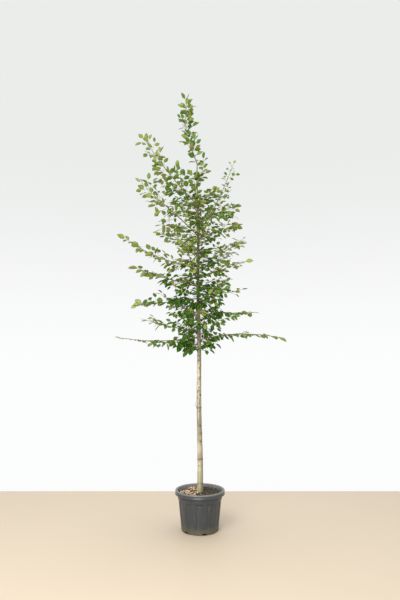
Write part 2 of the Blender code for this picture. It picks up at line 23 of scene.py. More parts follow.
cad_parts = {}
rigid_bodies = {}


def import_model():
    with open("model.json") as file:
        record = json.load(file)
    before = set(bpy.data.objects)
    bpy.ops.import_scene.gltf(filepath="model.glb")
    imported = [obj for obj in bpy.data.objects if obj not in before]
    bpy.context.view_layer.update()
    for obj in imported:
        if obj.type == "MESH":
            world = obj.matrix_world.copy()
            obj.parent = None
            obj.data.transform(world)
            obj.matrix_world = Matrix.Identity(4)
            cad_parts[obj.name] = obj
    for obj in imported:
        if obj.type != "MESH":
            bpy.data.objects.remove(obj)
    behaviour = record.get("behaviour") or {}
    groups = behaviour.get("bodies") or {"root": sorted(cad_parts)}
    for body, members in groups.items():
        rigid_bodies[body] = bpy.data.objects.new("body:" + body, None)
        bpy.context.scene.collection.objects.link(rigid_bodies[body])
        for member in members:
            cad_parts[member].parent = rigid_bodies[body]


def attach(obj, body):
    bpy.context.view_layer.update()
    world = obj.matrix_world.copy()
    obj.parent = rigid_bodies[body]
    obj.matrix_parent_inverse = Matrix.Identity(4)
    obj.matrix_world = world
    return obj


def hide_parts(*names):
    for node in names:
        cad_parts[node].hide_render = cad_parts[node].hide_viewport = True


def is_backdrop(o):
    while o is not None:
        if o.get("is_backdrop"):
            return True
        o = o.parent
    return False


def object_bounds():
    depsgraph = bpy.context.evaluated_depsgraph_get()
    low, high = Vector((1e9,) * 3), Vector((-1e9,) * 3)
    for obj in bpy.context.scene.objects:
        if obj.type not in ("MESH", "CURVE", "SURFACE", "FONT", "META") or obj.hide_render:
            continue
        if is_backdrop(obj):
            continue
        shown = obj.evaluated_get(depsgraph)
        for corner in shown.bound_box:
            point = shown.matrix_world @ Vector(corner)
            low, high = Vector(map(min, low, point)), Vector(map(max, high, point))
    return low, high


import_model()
cad_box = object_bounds()

LOG = logging.getLogger("hornbeam")
UP = Vector((0.0, 0.0, 1.0))
FRONT = math.radians(-90.0)
BODY = "root"
Colour = tuple[float, float, float]
Point = tuple[float, float, float]


def smooth_step(low: float, high: float, value: float) -> float:
    """Rise from 0 to 1 between low and high, level at both ends."""
    part = min(1.0, max(0.0, (value - low) / (high - low)))
    return part * part * (3.0 - 2.0 * part)


def place_object(name: str, data: bpy.types.ID) -> bpy.types.Object:
    """Make an object of a mesh, a light or a camera and put it in the scene."""
    made = bpy.data.objects.new(name, data)
    bpy.context.scene.collection.objects.link(made)
    return made


# ------------------------------------------------------------------ shader expressions
def add_node(tree: bpy.types.NodeTree, kind: str, settings: dict | None = None,
             inputs: dict | None = None) -> bpy.types.Node:
    """Add any node to a tree.

    Args:
        tree: The tree that it joins.
        kind: The node's type name.
        settings: Properties set before its sockets, such as a Math node's operation.
        inputs: Socket name or number to a number, a colour, a Value or a socket to link from.

    Returns:
        The node.
    """
    made = tree.nodes.new(kind)
    for key, setting in (settings or {}).items():
        setattr(made, key, setting)
    for key, value in (inputs or {}).items():
        source = value.socket if isinstance(value, Value) else value
        if isinstance(source, bpy.types.NodeSocket):
            tree.links.new(source, made.inputs[key])
        else:
            made.inputs[key].default_value = source
    return made


class Value:
    """A socket of a material that takes part in Python expressions on numbers."""

    def __init__(self, shading: Shading, socket: bpy.types.NodeSocket) -> None:
        """Wrap one output socket.

        Args:
            shading: The material's tree that new nodes join.
            socket: The output to wrap.
        """
        self.shading = shading
        self.socket = socket

    def _with(self, operation: str, first: Value | float, second: Value | float) -> Value:
        """Add one Math node."""
        return self.shading.node("ShaderNodeMath", {"operation": operation},
                                 {0: first, 1: second})

    def __add__(self, other: Value | float) -> Value:
        """Sum."""
        return self._with("ADD", self, other)

    __radd__ = __add__

    def __sub__(self, other: Value | float) -> Value:
        """Difference."""
        return self._with("SUBTRACT", self, other)

    def __rsub__(self, other: float) -> Value:
        """Difference from a number."""
        return self._with("SUBTRACT", other, self)

    def __mul__(self, other: Value | float) -> Value:
        """Product."""
        return self._with("MULTIPLY", self, other)

    __rmul__ = __mul__

    def between(self, low: float, high: float) -> Value:
        """Rise smoothly from 0 to 1 as this value goes from low to high."""
        return self.shading.node("ShaderNodeMapRange", {"interpolation_type": "SMOOTHSTEP"},
                                 {"Value": self, "From Min": low, "From Max": high})


class Shading:
    """One Principled material, put together from expressions."""

    def __init__(self, name: str) -> None:
        """Start a material with its shader and its output."""
        self.material = bpy.data.materials.new(name)
        self.material.use_nodes = True
        self.tree = self.material.node_tree
        self.shader = self.tree.nodes["Principled BSDF"]

    def node(self, kind: str, settings: dict | None = None, inputs: dict | None = None,
             output: int | str = 0) -> Value:
        """Add a node to the material, as add_node does.

        Args:
            kind: The node's type name.
            settings: Properties set before its sockets.
            inputs: Its sockets' values or links.
            output: Which output to return.

        Returns:
            The chosen output, wrapped.
        """
        return Value(self, add_node(self.tree, kind, settings, inputs).outputs[output])

    def place(self) -> Value:
        """The point on the object, in the frame's metres."""
        return self.node("ShaderNodeTexCoord", output="Object")

    def stretched(self, upright: float, across: float = 1.0) -> Value:
        """The point on the object, scaled upright and across, for patterns that run up a stem."""
        return self.node("ShaderNodeMapping", {},
                         {"Vector": self.place(), "Scale": (across, across, upright)})

    def height(self) -> Value:
        """The height of the point above the ground."""
        return self.node("ShaderNodeSeparateXYZ", {}, {0: self.place()}, output="Z")

    def mark(self, name: str) -> Value:
        """A mark that the piece's mesh carries at each of its points."""
        return self.node("ShaderNodeAttribute", {"attribute_name": name}, output="Fac")

    def grain(self, scale: float, detail: float = 3.0, roughness: float = 0.55,
              vector: Value | None = None, seed: float = 0.0) -> Value:
        """Smooth noise from 0 to 1.

        Args:
            scale: Cells to a metre.
            detail: Octaves.
            roughness: Weight of the finer octaves.
            vector: The point to read it at, the object's own by default.
            seed: Chooses another pattern of the same kind.

        Returns:
            The noise's value.
        """
        return self.node("ShaderNodeTexNoise", {"noise_dimensions": "4D"},
                         {"Vector": vector or self.place(), "W": seed, "Scale": scale,
                          "Detail": detail, "Roughness": roughness})

    def cells(self, scale: float, vector: Value | None = None) -> Value:
        """Distance to the nearest of a set of scattered points, in cells."""
        return self.node("ShaderNodeTexVoronoi", {}, {"Vector": vector or self.place(),
                                                      "Scale": scale}, output="Distance")

    def blend(self, factor: Value | float, first: Value | Colour, second: Value | Colour) -> Value:
        """Mix two colours."""
        def colour(value: Value | Colour) -> Value | tuple[float, float, float, float]:
            """Give a plain colour its alpha."""
            return value if isinstance(value, Value) else (*value, 1.0)

        return self.node("ShaderNodeMix", {"data_type": "RGBA"},
                         {"Factor": factor, 6: colour(first), 7: colour(second)}, output=2)

    def layered(self, base: Value | Colour, *layers: tuple[Value | float, Colour]) -> Value:
        """Lay colours over a base one after another.

        Args:
            base: The colour at the bottom.
            *layers: For each layer, the share it covers and its colour.

        Returns:
            The colour that shows on top.
        """
        for share, colour in layers:
            base = self.blend(share, base, colour)
        return base

    def bump(self, height: Value, distance: float, strength: float = 1.0) -> Value:
        """Turn a height from 0 to 1 into a normal, the distance being its depth in metres."""
        return self.node("ShaderNodeBump", {}, {"Height": height, "Distance": distance,
                                                "Strength": strength}, output="Normal")

    def dress(self, **sockets: Value | float | Colour) -> bpy.types.Material:
        """Connect the shader's sockets, named in lower case, and return the material."""
        for key, value in sockets.items():
            socket = self.shader.inputs[key.replace("_", " ").title().replace("Ior", "IOR")]
            if isinstance(value, Value):
                self.tree.links.new(value.socket, socket)
            elif isinstance(value, tuple):
                socket.default_value = (*value, 1.0)
            else:
                socket.default_value = value
        return self.material


# ------------------------------------------------------------------ finishes
@dataclass(frozen=True)
class YoungBark:
    """Smooth young bark: olive-tan low on the stem, and darkened to brown in the crown as painted
    shade.
    """

    name: str
    low: Colour = (0.520, 0.455, 0.318)
    # Painted shade: the stem's colour inside the crown, where the leaves shade it.
    middle: Colour = (0.118, 0.084, 0.060)
    high: Colour = (0.480, 0.385, 0.245)
    # Dark colour of the bark's streaks, and also the painted shade down the trunk's side.
    shaded: Colour = (0.135, 0.113, 0.072)
    scar: Colour = (0.050, 0.038, 0.026)
    stain: Colour = (0.185, 0.180, 0.105)
    green: Colour = (0.235, 0.250, 0.100)
    crown_shade_start: tuple[float, float] = (1.22, 1.42)
    crown_shade_end: tuple[float, float] = (2.25, 2.55)
    algae_heights: tuple[float, float] = (0.26, 0.60)
    fleck: Colour = (0.105, 0.088, 0.048)
    fleck_heights: tuple[float, float] = (0.72, 0.98)
    pore: Colour = (0.50, 0.44, 0.32)
    relief_depth: float = 0.0009

    def material(self) -> bpy.types.Material:
        """Build the bark: streaks along the stem, pale breathing pores, dark scars and painted
        shade.
        """
        made = Shading(self.name)
        high = made.height()
        streaks = made.grain(52.0, 3.0, 0.55, made.stretched(0.070))
        patches = made.grain(9.0, 3.0, 0.5, made.stretched(0.45), seed=3.0)
        pores = 1.0 - made.cells(230.0, made.stretched(1.6, 0.55)).between(0.10, 0.26)
        fine = made.grain(420.0, 3.0, 0.6, made.stretched(0.35), seed=7.0)
        stains = made.grain(30.0, 3.0, 0.6, made.stretched(0.55), seed=11.0)
        flecks = made.grain(95.0, 2.0, 0.6, made.stretched(0.60), seed=17.0)
        flecked = high.between(*self.fleck_heights) * flecks.between(0.50, 0.57)
        mossy = patches.between(0.45, 0.62) * (1.0 - high.between(*self.algae_heights))
        colour = made.layered(
            self.low,
            # Painted shade in the crown, giving way to the leader's own tan above it.
            (high.between(*self.crown_shade_start), self.middle),
            (high.between(*self.crown_shade_end), self.high),
            (streaks.between(0.46, 0.58) * 0.72, self.shaded),
            # Painted shade down the trunk's side away from the key lamp, read from the side
            # attribute.
            (made.mark("side") * 0.50, self.shaded),
            (stains.between(0.50, 0.62) * 0.60, self.stain),
            (flecked * 0.80, self.fleck),
            (mossy * 0.55, self.green),
            (pores * 0.30, self.pore),
            (made.mark("knot") * 0.85, self.scar),
        )
        relief = streaks * 0.55 + fine * 0.30 + pores * 0.35
        return made.dress(base_color=colour, roughness=streaks * 0.22 + 0.62,
                          normal=made.bump(relief, self.relief_depth))


@dataclass(frozen=True)
class TwigBark:
    """The thin bark of this and last year's shoots, brown with a green cast."""

    name: str
    brown: Colour = (0.215, 0.165, 0.085)
    green: Colour = (0.225, 0.235, 0.090)

    def material(self) -> bpy.types.Material:
        """Build the twig's bark, greener in places."""
        made = Shading(self.name)
        cast = made.grain(14.0, 2.0, seed=1.0)
        fine = made.grain(600.0, 2.0, seed=5.0)
        colour = made.blend(cast.between(0.40, 0.62), self.brown, self.green)
        return made.dress(base_color=colour, roughness=fine * 0.25 + 0.55,
                          normal=made.bump(fine, 0.0004))


@dataclass(frozen=True)
class LeafGreen:
    """One plain green of the crown, with the faint quilting of a hornbeam leaf."""

    name: str
    colour: Colour
    roughness: float = 0.50
    gloss: float = 0.25

    def material(self) -> bpy.types.Material:
        """Build the leaf's finish."""
        made = Shading(self.name)
        mottle = made.grain(55.0, 2.0, seed=2.0)
        darker = tuple(channel * 0.80 for channel in self.colour)
        quilt = made.grain(700.0, 2.0, 0.5, seed=4.0)
        colour = made.blend(mottle.between(0.35, 0.70), self.colour, darker)
        return made.dress(base_color=colour, roughness=quilt * 0.16 + self.roughness - 0.08,
                          specular_ior_level=self.gloss, normal=made.bump(quilt, 0.0003))


@dataclass(frozen=True)
class NurseryPlastic:
    """Recycled black plastic gone grey, with dust and a painted highlight on its lip's crest, muddy
    round its foot.
    """

    name: str
    colour: Colour = (0.036, 0.041, 0.045)
    dust: Colour = (0.170, 0.178, 0.184)
    # Paler colour of the lip's crest: partly dust, partly painted highlight.
    crest_dust_and_highlight: Colour = (0.330, 0.315, 0.290)
    mud: Colour = (0.098, 0.083, 0.044)
    moss: Colour = (0.070, 0.085, 0.034)
    # Painted light: the inner wall above the compost, lighter as if lit from the front.
    inside: Colour = (0.218, 0.212, 0.208)
    # Painted shade under the lip, under the panels' top edges and in the drain notches.
    crevice_shade: Colour = (0.006, 0.006, 0.005)
    mud_heights: tuple[float, float] = (0.006, 0.066)
    crest_heights: tuple[float, float] = (0.266, 0.274)
    relief_depth: float = 0.0005

    def material(self) -> bpy.types.Material:
        """Build the plastic with its scuffs, dust and splashes.

        The mesh's mark is above 0 where shade is painted near-black: under the lip, under the
        panels' top edges and in the notches.
        It is below 0 on the inner wall, which is painted lighter as if lit.
        """
        made = Shading(self.name)
        high = made.height()
        clouds = made.grain(13.0, 4.0, 0.6)
        runs = made.grain(70.0, 3.0, 0.6, made.stretched(0.09), seed=2.0)
        specks = made.grain(260.0, 2.0, 0.7, seed=6.0)
        scratches = made.grain(320.0, 2.0, 0.7, made.stretched(0.06), seed=9.0)
        # The lip's crest is paler: partly dust, partly painted highlight where the light catches
        # it.
        crest_dust_and_highlight = high.between(*self.crest_heights) * (clouds * 0.4 + 0.6)
        low = 1.0 - high.between(*self.mud_heights)
        splash = (clouds * 0.6 + specks * 0.4).between(0.40, 0.62)
        green = low * made.grain(24.0, 4.0, 0.65, seed=12.0).between(0.50, 0.60)
        hollow = made.mark("hollow")
        colour = made.layered(
            self.colour,
            (runs.between(0.50, 0.75) * 0.16, self.dust),
            (crest_dust_and_highlight * 0.42, self.crest_dust_and_highlight),
            (scratches.between(0.68, 0.76) * 0.20, self.dust),
            (low * (splash * 0.5 + 0.5), self.mud),
            (green * 0.75, self.moss),
            # Painted light on the inner wall, where the mark is below 0.
            (hollow * -1.0, self.inside),
            # Painted shade, near-black, where the mark is above 0.
            (hollow, self.crevice_shade),
        )
        dull = low * splash * 0.35 + clouds * 0.12 + 0.27
        relief = specks * 0.5 + scratches * 0.3 + low * splash * 0.6
        return made.dress(base_color=colour, roughness=dull,
                          normal=made.bump(relief, self.relief_depth))


@dataclass(frozen=True)
class Crumbs:
    """Compost, bark chips or moss: one base colour broken by a darker and a paler one."""

    name: str
    colour: Colour
    darker: Colour
    paler: Colour
    scale: float = 90.0

    def material(self) -> bpy.types.Material:
        """Build the crumbly finish."""
        made = Shading(self.name)
        broad = made.grain(self.scale, 3.0, 0.6)
        fine = made.grain(self.scale * 7.0, 3.0, 0.6, seed=3.0)
        colour = made.blend(broad.between(0.35, 0.60), self.darker, self.colour)
        colour = made.blend(fine.between(0.55, 0.75) * 0.6, colour, self.paler)
        return made.dress(base_color=colour, roughness=fine * 0.15 + 0.82,
                          normal=made.bump(fine + broad, 0.0014))


# ------------------------------------------------------------------ meshes
class Bag:
    """Gathers many small closed or open shapes into one mesh."""

    def __init__(self, name: str) -> None:
        """Start empty, the name being the piece's."""
        self.name = name
        self.points: list[Vector] = []
        self.faces: list[tuple[int, ...]] = []
        self.marks: list[float] = []

    def tube(self, line: Sequence[Vector], radii: Sequence[float], sides: int,
             relief: Callable[[int, float], float] | None = None,
             mark: Callable[[int, float], float] | None = None) -> None:
        """Add a round limb with closed ends.

        Args:
            line: The middle line's points.
            radii: The radius at each of them.
            sides: Points round each ring.
            relief: Adds to the radius, given the ring's number and the angle.
            mark: Gives the mark that the finish reads, likewise.
        """
        base = len(self.points)
        across = self._across(line)
        for ring, (centre, radius, (first, second)) in enumerate(zip(line, radii, across)):
            for side in range(sides):
                angle = math.tau * side / sides
                reach = radius + (relief(ring, angle) if relief else 0.0)
                self.points.append(centre + (first * math.cos(angle) + second * math.sin(angle))
                                   * reach)
                self.marks.append(mark(ring, angle) if mark else 0.0)
        for ring in range(len(line) - 1):
            for side in range(sides):
                low = base + ring * sides
                after = (side + 1) % sides
                self.faces.append((low + side, low + after, low + sides + after,
                                   low + sides + side))
        last = base + (len(line) - 1) * sides
        self.faces.append(tuple(base + side for side in reversed(range(sides))))
        self.faces.append(tuple(last + side for side in range(sides)))

    @staticmethod
    def _across(line: Sequence[Vector]) -> list[tuple[Vector, Vector]]:
        """Two directions across the line at each point, carried along it without twist."""
        ways = []
        for index in range(len(line)):
            before, after = line[max(0, index - 1)], line[min(len(line) - 1, index + 1)]
            ways.append((after - before).normalized())
        start = Vector((1.0, 0.0, 0.0)) if abs(ways[0].x) < 0.8 else Vector((0.0, 1.0, 0.0))
        first = (start - ways[0] * start.dot(ways[0])).normalized()
        frames = []
        for way in ways:
            first = (first - way * first.dot(way)).normalized()
            frames.append((first, way.cross(first)))
        return frames

    def ring(self, radius: float, columns: int, height: Callable[[float], float]) -> None:
        """Add a ring of points about the middle.

        Args:
            radius: Its radius, in metres.
            columns: How many points it has.
            height: Tells a point's height from its angle.
        """
        for column in range(columns):
            angle = math.tau * column / columns
            self.points.append(Vector((radius * math.cos(angle), radius * math.sin(angle),
                                       height(angle))))

    def join_rings(self, first: int, columns: int) -> None:
        """Join rings of points, each to the next one out.

        Args:
            first: The index of the innermost ring's first point.
            columns: How many points each ring has.
        """
        for inner in range(first, len(self.points) - columns, columns):
            outer = inner + columns
            for column in range(columns):
                after = (column + 1) % columns
                self.faces.append((inner + column, outer + column, outer + after, inner + after))

    def piece(self, material: bpy.types.Material, mark_name: str | None = None,
              sharp_angle: float = math.radians(50)) -> bpy.types.Object:
        """Turn what was gathered into one smooth piece.

        Args:
            material: Its finish.
            mark_name: The attribute that the marks go into, if the finish reads one.
            sharp_angle: Edges sharper than this stay crisp.

        Returns:
            The object.
        """
        mesh = bpy.data.meshes.new(self.name)
        mesh.from_pydata(self.points, [], self.faces)
        if mark_name:
            layer = mesh.attributes.new(mark_name, "FLOAT", "POINT")
            layer.data.foreach_set("value", self.marks)
        mesh.materials.append(material)
        mesh.shade_smooth()
        mesh.set_sharp_from_angle(angle=sharp_angle)
        mesh.update()
        return place_object(self.name, mesh)


def skin_rings(bm: bmesh.types.BMesh, rings: Sequence[Sequence[bmesh.types.BMVert]]) -> None:
    """Join rings of corners into a skin, and close it at the first of them.

    Args:
        bm: The mesh being built.
        rings: Rings with the same number of corners, in order along the shape.
    """
    count = len(rings[0])
    for low, high in zip(rings, rings[1:]):
        for corner in range(count):
            after = (corner + 1) % count
            bm.faces.new((low[corner], low[after], high[after], high[corner]))
    bm.faces.new(rings[0][::-1])


def finish_mesh(bm: bmesh.types.BMesh, name: str) -> bpy.types.Mesh:
    """Turn what was built into a mesh."""
    mesh = bpy.data.meshes.new(name)
    bm.to_mesh(mesh)
    bm.free()
    return mesh


def settle(piece: bpy.types.Object, nodes: Iterable[str]) -> None:
    """Make a piece ride on the plant's body and stand for its nodes, hiding their model parts."""
    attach(piece, BODY)
    names = list(nodes)
    if names:
        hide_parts(*names)
    LOG.info("%s: %d faces, stands for %d nodes", piece.name, len(piece.data.polygons), len(names))


# ------------------------------------------------------------------ geometry nodes
class Scatter:
    """A geometry node tree that puts copies of a few shapes on points and makes them one mesh."""

    def __init__(self, name: str) -> None:
        """Start a tree with its geometry in and out."""
        self.tree = bpy.data.node_groups.new(name, "GeometryNodeTree")
        self.tree.interface.new_socket("Geometry", in_out="INPUT", socket_type="NodeSocketGeometry")
        self.tree.interface.new_socket("Geometry", in_out="OUTPUT",
                                       socket_type="NodeSocketGeometry")
        self.entry = self.tree.nodes.new("NodeGroupInput")
        self.exit = self.tree.nodes.new("NodeGroupOutput")
        self.identifiers: dict[str, str] = {}

    def take(self, name: str, kind: str) -> bpy.types.NodeSocket:
        """Add a named input to the tree and return it as a socket to link from."""
        made = self.tree.interface.new_socket(name, in_out="INPUT", socket_type=kind)
        self.identifiers[name] = made.identifier
        return self.entry.outputs[name]

    def node(self, kind: str, settings: dict | None = None,
             inputs: dict | None = None) -> bpy.types.Node:
        """Add a node to this tree, as add_node does."""
        return add_node(self.tree, kind, settings, inputs)

    def named(self, name: str, kind: str) -> bpy.types.NodeSocket:
        """Read an attribute of the points."""
        made = self.node("GeometryNodeInputNamedAttribute", {"data_type": kind}, {"Name": name})
        return made.outputs["Attribute"]

    def shapes_at(self, points: bpy.types.NodeSocket, shapes: bpy.types.NodeSocket,
                  seed: bpy.types.NodeSocket, turn: bpy.types.NodeSocket,
                  size: bpy.types.NodeSocket) -> bpy.types.NodeSocket:
        """Put one of a few shapes on each point.

        Args:
            points: Where the shapes go.
            shapes: The collection that holds them.
            seed: Chooses which shape each point gets.
            turn: How each is turned.
            size: How long each is.

        Returns:
            The instances.
        """
        kinds = self.node("GeometryNodeCollectionInfo", {},
                          {"Collection": shapes, "Separate Children": True,
                           "Reset Children": True})
        pick = self.node("FunctionNodeRandomValue", {"data_type": "INT"},
                         {4: 0, 5: 99, "Seed": seed})
        placed = self.node("GeometryNodeInstanceOnPoints", {},
                           {"Points": points, "Instance": kinds.outputs[0],
                            "Pick Instance": True, "Instance Index": pick.outputs[2],
                            "Rotation": turn, "Scale": size})
        return placed.outputs[0]

    def close(self, instances: bpy.types.NodeSocket, material: bpy.types.NodeSocket) -> None:
        """End the tree: real geometry, smooth, in one material."""
        real = self.node("GeometryNodeRealizeInstances", {}, {"Geometry": instances})
        soft = self.node("GeometryNodeSetShadeSmooth", {}, {"Geometry": real.outputs[0]})
        done = self.node("GeometryNodeSetMaterial", {}, {"Geometry": soft.outputs[0],
                                                         "Material": material})
        self.tree.links.new(done.outputs[0], self.exit.inputs[0])

    def run(self, host: bpy.types.Object, values: dict) -> bpy.types.Object:
        """Run the tree on an object and leave the result as its plain mesh.

        Args:
            host: The object whose mesh feeds the tree.
            values: Input name to value.

        Returns:
            The same object, without the modifier.
        """
        modifier = host.modifiers.new(self.tree.name, "NODES")
        modifier.node_group = self.tree
        for name, value in values.items():
            modifier[self.identifiers[name]] = value
        depsgraph = bpy.context.evaluated_depsgraph_get()
        mesh = bpy.data.meshes.new_from_object(host.evaluated_get(depsgraph))
        host.modifiers.clear()
        mesh.name = host.name
        host.data = mesh
        return host


def shape_collection(name: str, meshes: Sequence[bpy.types.Mesh]) -> bpy.types.Collection:
    """Keep a few shapes in a collection of its own, outside the scene."""
    group = bpy.data.collections.new(name)
    for index, mesh in enumerate(meshes):
        group.objects.link(bpy.data.objects.new(f"{name}_{index}", mesh))
    return group


def drop_collection(group: bpy.types.Collection) -> None:
    """Remove a collection and the shapes in it."""
    for shape in list(group.objects):
        bpy.data.objects.remove(shape)
    bpy.data.collections.remove(group)


# ------------------------------------------------------------------ the growth rule
@dataclass(frozen=True)
class TrunkLine:
    """The trunk's middle line and taper, with a slight lean and a leader bent the same way."""

    foot: float = 0.257
    top: float = 3.335
    wood_top: float = 3.277
    base_radius: float = 0.0205
    least_radius: float = 0.0009
    taper: float = 1.0
    flare_radius: float = 0.0012
    flare_height: float = 0.030
    lean: float = 0.027
    leader_bend: float = 2.740
    leader_swing: float = 0.092
    leader_curl: float = 0.80
    wander: float = 0.0025
    wander_length: float = 0.83

    def share(self, height: float) -> float:
        """How far up the trunk a height is, from 0 to 1."""
        return (height - self.foot) / (self.top - self.foot)

    def centre(self, height: float) -> Vector:
        """The middle of the trunk at a height."""
        bent = max(0.0, (height - self.leader_bend) / (self.top - self.leader_bend))
        swing = self.leader_swing * math.sin(math.pi * self.leader_curl * bent)
        phase = math.tau * (height - self.foot) / self.wander_length
        aside = -self.lean * self.share(height) - swing
        return Vector((aside + self.wander * math.sin(phase),
                       self.wander * (1.0 - math.cos(phase)), height))

    def radius(self, height: float) -> float:
        """The trunk's radius at a height."""
        flare = self.flare_radius * math.exp(-(height - self.foot) / self.flare_height)
        slim = max(0.0, 1.0 - self.share(height)) ** self.taper
        return self.least_radius + self.base_radius * slim + flare

    def gap(self, point: Vector) -> float:
        """How far a point is outside the trunk's bark, negative within it."""
        height = min(self.wood_top, max(self.foot, point.z))
        return (point - self.centre(height)).length - self.radius(height)


@dataclass(frozen=True)
class Limb:
    """One line of growth off the trunk, as the model's table gives it.

    It leaves the trunk's middle line at a height, heads along an azimuth (0 is +X, 90 is +Y) and
    ends, with its last leaf, at a horizontal reach and a rise. The bow lets its middle sag. The
    bare share is the model's leafless bough, and full scales the side twigs.
    """

    name: str
    height: float
    azimuth: float
    reach: float
    rise: float
    bow: float
    bare: float
    full: float

    trunk = TrunkLine()
    end_leaf = 0.058
    sway = 0.012
    tip_radius = 0.0012
    base_radius = 0.0029
    radius_per_length = 0.0032
    taper = 0.8
    collar = 0.25

    def point(self, share: float) -> Vector:
        """A point on the limb's middle line, the share running from the trunk to the tip."""
        heading = math.radians(self.azimuth)
        outwards = Vector((math.cos(heading), math.sin(heading), 0.0))
        sideways = Vector((-outwards.y, outwards.x, 0.0))
        line = (1.0 - self.end_leaf / math.hypot(self.reach, self.rise)) * share
        hand = 1.0 if int(self.azimuth) % 2 else -1.0
        swing = self.sway * math.sin(math.tau * share) * hand
        sag = self.bow * 4.0 * share * (1.0 - share)
        return (self.trunk.centre(self.height) + outwards * self.reach * line + sideways * swing
                + UP * (self.rise * line - sag))

    def direction(self, share: float) -> Vector:
        """The way that the limb grows at a share of its length."""
        step = 0.01
        return (self.point(share + step) - self.point(share - step)).normalized()

    def length(self) -> float:
        """The length of the middle line."""
        points = [self.point(index / 20) for index in range(21)]
        return sum((after - before).length for before, after in zip(points, points[1:]))

    def radius(self, share: float) -> float:
        """The limb's radius, with a collar where it leaves the trunk."""
        length = self.length()
        root = self.base_radius + self.radius_per_length * length
        collar = 1.0 + self.collar * math.exp(-share * length / 0.02)
        slim = max(0.0, 1.0 - share) ** self.taper
        return self.tip_radius + (root - self.tip_radius) * slim * collar

    @property
    def has_bough(self) -> bool:
        """Whether the model has a bare bough for this limb, as it has for all but the shoots."""
        return self.bare > 0.0


@dataclass(frozen=True)
class Leader(Limb):
    """The trunk's own last stretch, which bears leaves and follows the trunk's line."""

    def point(self, share: float) -> Vector:
        """A point on the trunk's line above the bare trunk."""
        return self.trunk.centre(self.height + self.rise * share)

    def radius(self, share: float) -> float:
        """The trunk's own radius there."""
        return self.trunk.radius(self.height + self.rise * share)


LIMBS = (
    Limb("low_left", 1.375, 175, 0.655, -0.003, 0.025, 0.26, 0.45),
    Limb("low_left_front", 1.412, 207, 0.470, 0.085, 0.005, 0.22, 0.70),
    Limb("low_right", 1.355, 355, 0.655, 0.016, -0.035, 0.26, 0.45),
    Limb("low_right_front", 1.470, 325, 0.360, 0.060, 0.010, 0.22, 0.85),
    Limb("low_back", 1.435, 96, 0.450, 0.040, 0.010, 0.22, 0.80),
    Limb("low_front", 1.500, 264, 0.430, 0.050, 0.010, 0.22, 0.80),
    Limb("middle_right", 1.580, 12, 0.495, -0.010, 0.010, 0.22, 0.65),
    Limb("middle_back_left", 1.612, 122, 0.430, 0.060, 0.010, 0.22, 0.85),
    Limb("middle_left", 1.672, 166, 0.540, -0.040, 0.005, 0.22, 0.75),
    Limb("middle_front_right", 1.655, 292, 0.430, 0.060, 0.010, 0.22, 0.85),
    Limb("middle_right_front", 1.700, 346, 0.390, 0.030, 0.010, 0.22, 0.80),
    Limb("middle_back_right", 1.770, 52, 0.430, 0.110, 0.015, 0.22, 0.80),
    Limb("middle_left_front", 1.762, 197, 0.512, 0.125, 0.010, 0.22, 0.70),
    Limb("middle_right_high", 1.845, 341, 0.425, 0.100, 0.010, 0.22, 0.75),
    Limb("middle_front", 1.868, 252, 0.400, 0.160, 0.015, 0.22, 0.80),
    Limb("upper_left_back", 1.915, 169, 0.640, 0.270, 0.045, 0.26, 0.75),
    Limb("upper_right", 1.935, 17, 0.411, 0.250, 0.020, 0.22, 0.75),
    Limb("upper_back", 1.990, 101, 0.380, 0.190, 0.020, 0.22, 0.80),
    Limb("upper_left_front", 2.040, 212, 0.395, 0.110, -0.020, 0.22, 0.75),
    Limb("upper_front", 2.085, 288, 0.340, 0.230, 0.020, 0.22, 0.80),
    Limb("upper_left", 2.157, 191, 0.489, 0.438, 0.000, 0.22, 0.90),
    Limb("high_right", 2.189, 14, 0.319, 0.635, 0.055, 0.22, 0.90),
    Limb("high_right_front", 2.232, 338, 0.355, 0.150, -0.025, 0.22, 0.80),
    Limb("high_left", 2.405, 173, 0.471, 0.623, 0.030, 0.22, 0.85),
    Limb("shoot_low_left", 1.325, 218, 0.160, -0.075, -0.010, 0.0, 0.55),
    Limb("shoot_low_right", 1.335, 318, 0.175, -0.020, -0.010, 0.0, 0.55),
    Limb("shoot_inner_left", 1.545, 178, 0.250, 0.020, 0.000, 0.0, 0.75),
    Limb("shoot_inner_right", 2.130, 356, 0.350, 0.120, -0.012, 0.0, 0.75),
    Limb("shoot_back", 2.270, 78, 0.250, 0.290, 0.010, 0.0, 0.70),
    Limb("shoot_front", 2.330, 258, 0.220, 0.280, 0.010, 0.0, 0.70),
    Limb("shoot_high_right", 2.400, 32, 0.190, 0.190, 0.000, 0.0, 0.30),
    Limb("shoot_upright", 2.530, 330, 0.075, 0.290, 0.010, 0.0, 0.30),
)


@dataclass(frozen=True)
class Habit:
    """How a limb's spray departs from the common rule, by the light and room that it had.

    Its twigs are lush times as long, hang so much below their usual rise, stand crowded times as
    close, and spread flat times as far out of their rank. Its outer leaves are small times as
    long.
    """

    lush: float = 1.0
    hang: float = 0.0
    crowded: float = 1.0
    flat: float = 1.0
    small: float = 1.0


